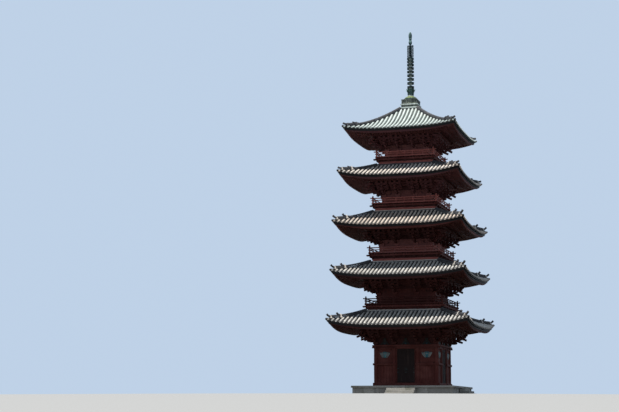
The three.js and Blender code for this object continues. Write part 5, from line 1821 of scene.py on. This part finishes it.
class PagodaTimber(PropertyGroup):
    """Sizes of the eaves timbers."""

    rafter_pitch: length_setting("Rafter pitch", "Distance between the rafters", 0.21)
    rafter_width: length_setting("Rafter width", "Width of a flying rafter", 0.085)


class PagodaColours(PropertyGroup):
    """Main colours of the finishes."""

    red_paint: colour_setting("Red paint", "Iron-red paint on the railings and walls", (0.105, 0.020, 0.015))
    faded_paint: colour_setting("Faded paint", "The same paint where it has faded", (0.17, 0.052, 0.042))
    # A darker copy of the red paint for timbers under the eaves and balconies: painted shade.
    shade_paint: colour_setting("Dark paint", "The paint under the eaves", (0.060, 0.014, 0.012))
    tile: colour_setting("Tile", "Smoked clay tile", (0.60, 0.58, 0.54))
    copper: colour_setting("Copper", "Brown copper sheet", (0.63, 0.54, 0.46))
    verdigris: colour_setting("Verdigris", "Green copper sheet", (0.58, 0.64, 0.61))
    bronze: colour_setting("Bronze", "Dark metal of the spire", (0.035, 0.065, 0.07))


class PagodaStage(PropertyGroup):
    """Camera, light and floor."""

    lens: FloatProperty(name="Lens", description="Focal length in millimetres", default=78.16)
    camera_away: length_setting("Camera distance", "Distance of the eye from the pagoda's axis", 105.8)
    camera_height: FloatProperty(
        name="Camera height", description="Height of the eye over the ground", default=-1.19, unit="LENGTH")
    camera_turn: angle_setting("Camera turn", "How far the eye stands to the right of the front", 12.92)
    camera_tilt: angle_setting("Camera tilt", "How far the eye looks up", 8.773)
    camera_pan: angle_setting("Camera pan", "How far the eye looks left of the axis", 4.40)
    camera_roll: angle_setting("Camera roll", "How far the picture leans", 0.18)
    sun_strength: FloatProperty(name="Light strength", description="Strength of the high light", default=5.8)
    sun_softness: angle_setting("Light softness", "Apparent width of the high light", 3.0)
    sun_height: angle_setting("Light height", "Height of the light over the horizon", 72.0)
    sun_turn: angle_setting("Light turn", "How far the light stands to the left of the front", -30.0)
    fill_strength: FloatProperty(name="Fill strength", description="Strength of the soft fill", default=0.55)
    fill_colour: colour_setting("Fill colour", "Colour of the soft fill", (0.68, 0.82, 1.0))
    backdrop_colour: colour_setting("Backdrop", "Colour behind the pagoda", (0.52, 0.64, 0.80))
    floor_colour: colour_setting("Floor", "Colour of the floor", (0.30, 0.30, 0.295))
    bounce_colour: colour_setting(
        "Floor bounce", "Colour of the light that the floor throws back", (0.115, 0.108, 0.10))
    floor_fall: FloatProperty(
        name="Floor fall", description="How fast the floor falls away", default=0.00028)


# Operators


class PAGODA_OT_lay_roofs(Operator):
    """Lay the tiled and copper roofs with their ridges"""

    bl_idname = "pagoda.lay_roofs"
    bl_label = "Lay Roofs"

    def execute(self, context):
        for storey in STOREYS:
            lay_roof(storey, context.scene.pagoda_roofs)
        return {"FINISHED"}


class PAGODA_OT_frame_eaves(Operator):
    """Set the rafters and boards under each roof"""

    bl_idname = "pagoda.frame_eaves"
    bl_label = "Frame Eaves"

    def execute(self, context):
        for storey in STOREYS:
            frame_eaves(storey, context.scene.pagoda_timber)
        return {"FINISHED"}


class PAGODA_OT_build_brackets(Operator):
    """Stack the brackets under each roof, and the struts between the lowest ones"""

    bl_idname = "pagoda.build_brackets"
    bl_label = "Build Brackets"

    def execute(self, context):
        for storey in STOREYS:
            build_brackets(storey)
        frog_leg_struts(STOREYS[0])
        return {"FINISHED"}


class PAGODA_OT_build_upper_storeys(Operator):
    """Build the walls, balconies and railings of the upper storeys"""

    bl_idname = "pagoda.build_upper_storeys"
    bl_label = "Build Upper Storeys"

    def execute(self, context):
        for below, storey in zip(STOREYS, STOREYS[1:]):
            upper_walls(storey)
            balcony(storey, below)
            railing(storey)
        return {"FINISHED"}


class PAGODA_OT_build_ground_storey(Operator):
    """Build the ground storey's walls, doorways, doors and ornaments"""

    bl_idname = "pagoda.build_ground_storey"
    bl_label = "Build Ground Storey"

    def execute(self, context):
        ground_walls()
        fan_ornaments()
        doorways()
        hang_doors()
        head_beams()
        inner_timbers()
        return {"FINISHED"}


class PAGODA_OT_set_stones(Operator):
    """Set the stones of the podium and the steps"""

    bl_idname = "pagoda.set_stones"
    bl_label = "Set Stones"

    def execute(self, context):
        podium_stones()
        step_stones()
        return {"FINISHED"}


class PAGODA_OT_raise_spire(Operator):
    """Raise the bronze spire"""

    bl_idname = "pagoda.raise_spire"
    bl_label = "Raise Spire"

    def execute(self, context):
        roban()
        dome_and_lotus()
        nine_rings()
        flame()
        wheel_and_jewel()
        return {"FINISHED"}


class PAGODA_OT_set_stage(Operator):
    """Set up the floor, light, backdrop and camera"""

    bl_idname = "pagoda.set_stage"
    bl_label = "Set Stage"

    def execute(self, context):
        light_and_floor(context.scene.pagoda_stage)
        set_camera(context.scene.pagoda_stage)
        return {"FINISHED"}


class PAGODA_PT_panel(Panel):
    """The pagoda's steps and settings"""

    bl_label = "Pagoda"
    bl_idname = "PAGODA_PT_panel"
    bl_space_type = "VIEW_3D"
    bl_region_type = "UI"
    bl_category = "Pagoda"

    def draw(self, context):
        for group in SETTINGS:
            settings = getattr(context.scene, group)
            for name in settings.bl_rna.properties.keys():
                if name not in ("rna_type", "name"):
                    self.layout.prop(settings, name)
        for step in STEPS:
            self.layout.operator(step.bl_idname)


SETTINGS = {
    "pagoda_roofs": PagodaRoofs,
    "pagoda_timber": PagodaTimber,
    "pagoda_colours": PagodaColours,
    "pagoda_stage": PagodaStage,
}
STEPS = (
    PAGODA_OT_set_stage,
    PAGODA_OT_lay_roofs,
    PAGODA_OT_frame_eaves,
    PAGODA_OT_build_brackets,
    PAGODA_OT_build_upper_storeys,
    PAGODA_OT_build_ground_storey,
    PAGODA_OT_set_stones,
    PAGODA_OT_raise_spire,
)


def register():
    for group, settings in SETTINGS.items():
        bpy.utils.register_class(settings)
        setattr(bpy.types.Scene, group, PointerProperty(type=settings))
    for cls in (*STEPS, PAGODA_PT_panel):
        bpy.utils.register_class(cls)


def unregister():
    for cls in (PAGODA_PT_panel, *reversed(STEPS)):
        bpy.utils.unregister_class(cls)
    for group, settings in reversed(SETTINGS.items()):
        delattr(bpy.types.Scene, group)
        bpy.utils.unregister_class(settings)


def main():
    register()
    for step in STEPS:
        category, name = step.bl_idname.split(".")
        getattr(getattr(bpy.ops, category), name)()
    bpy.context.view_layer.update()


if __name__ == "__main__":
    main()
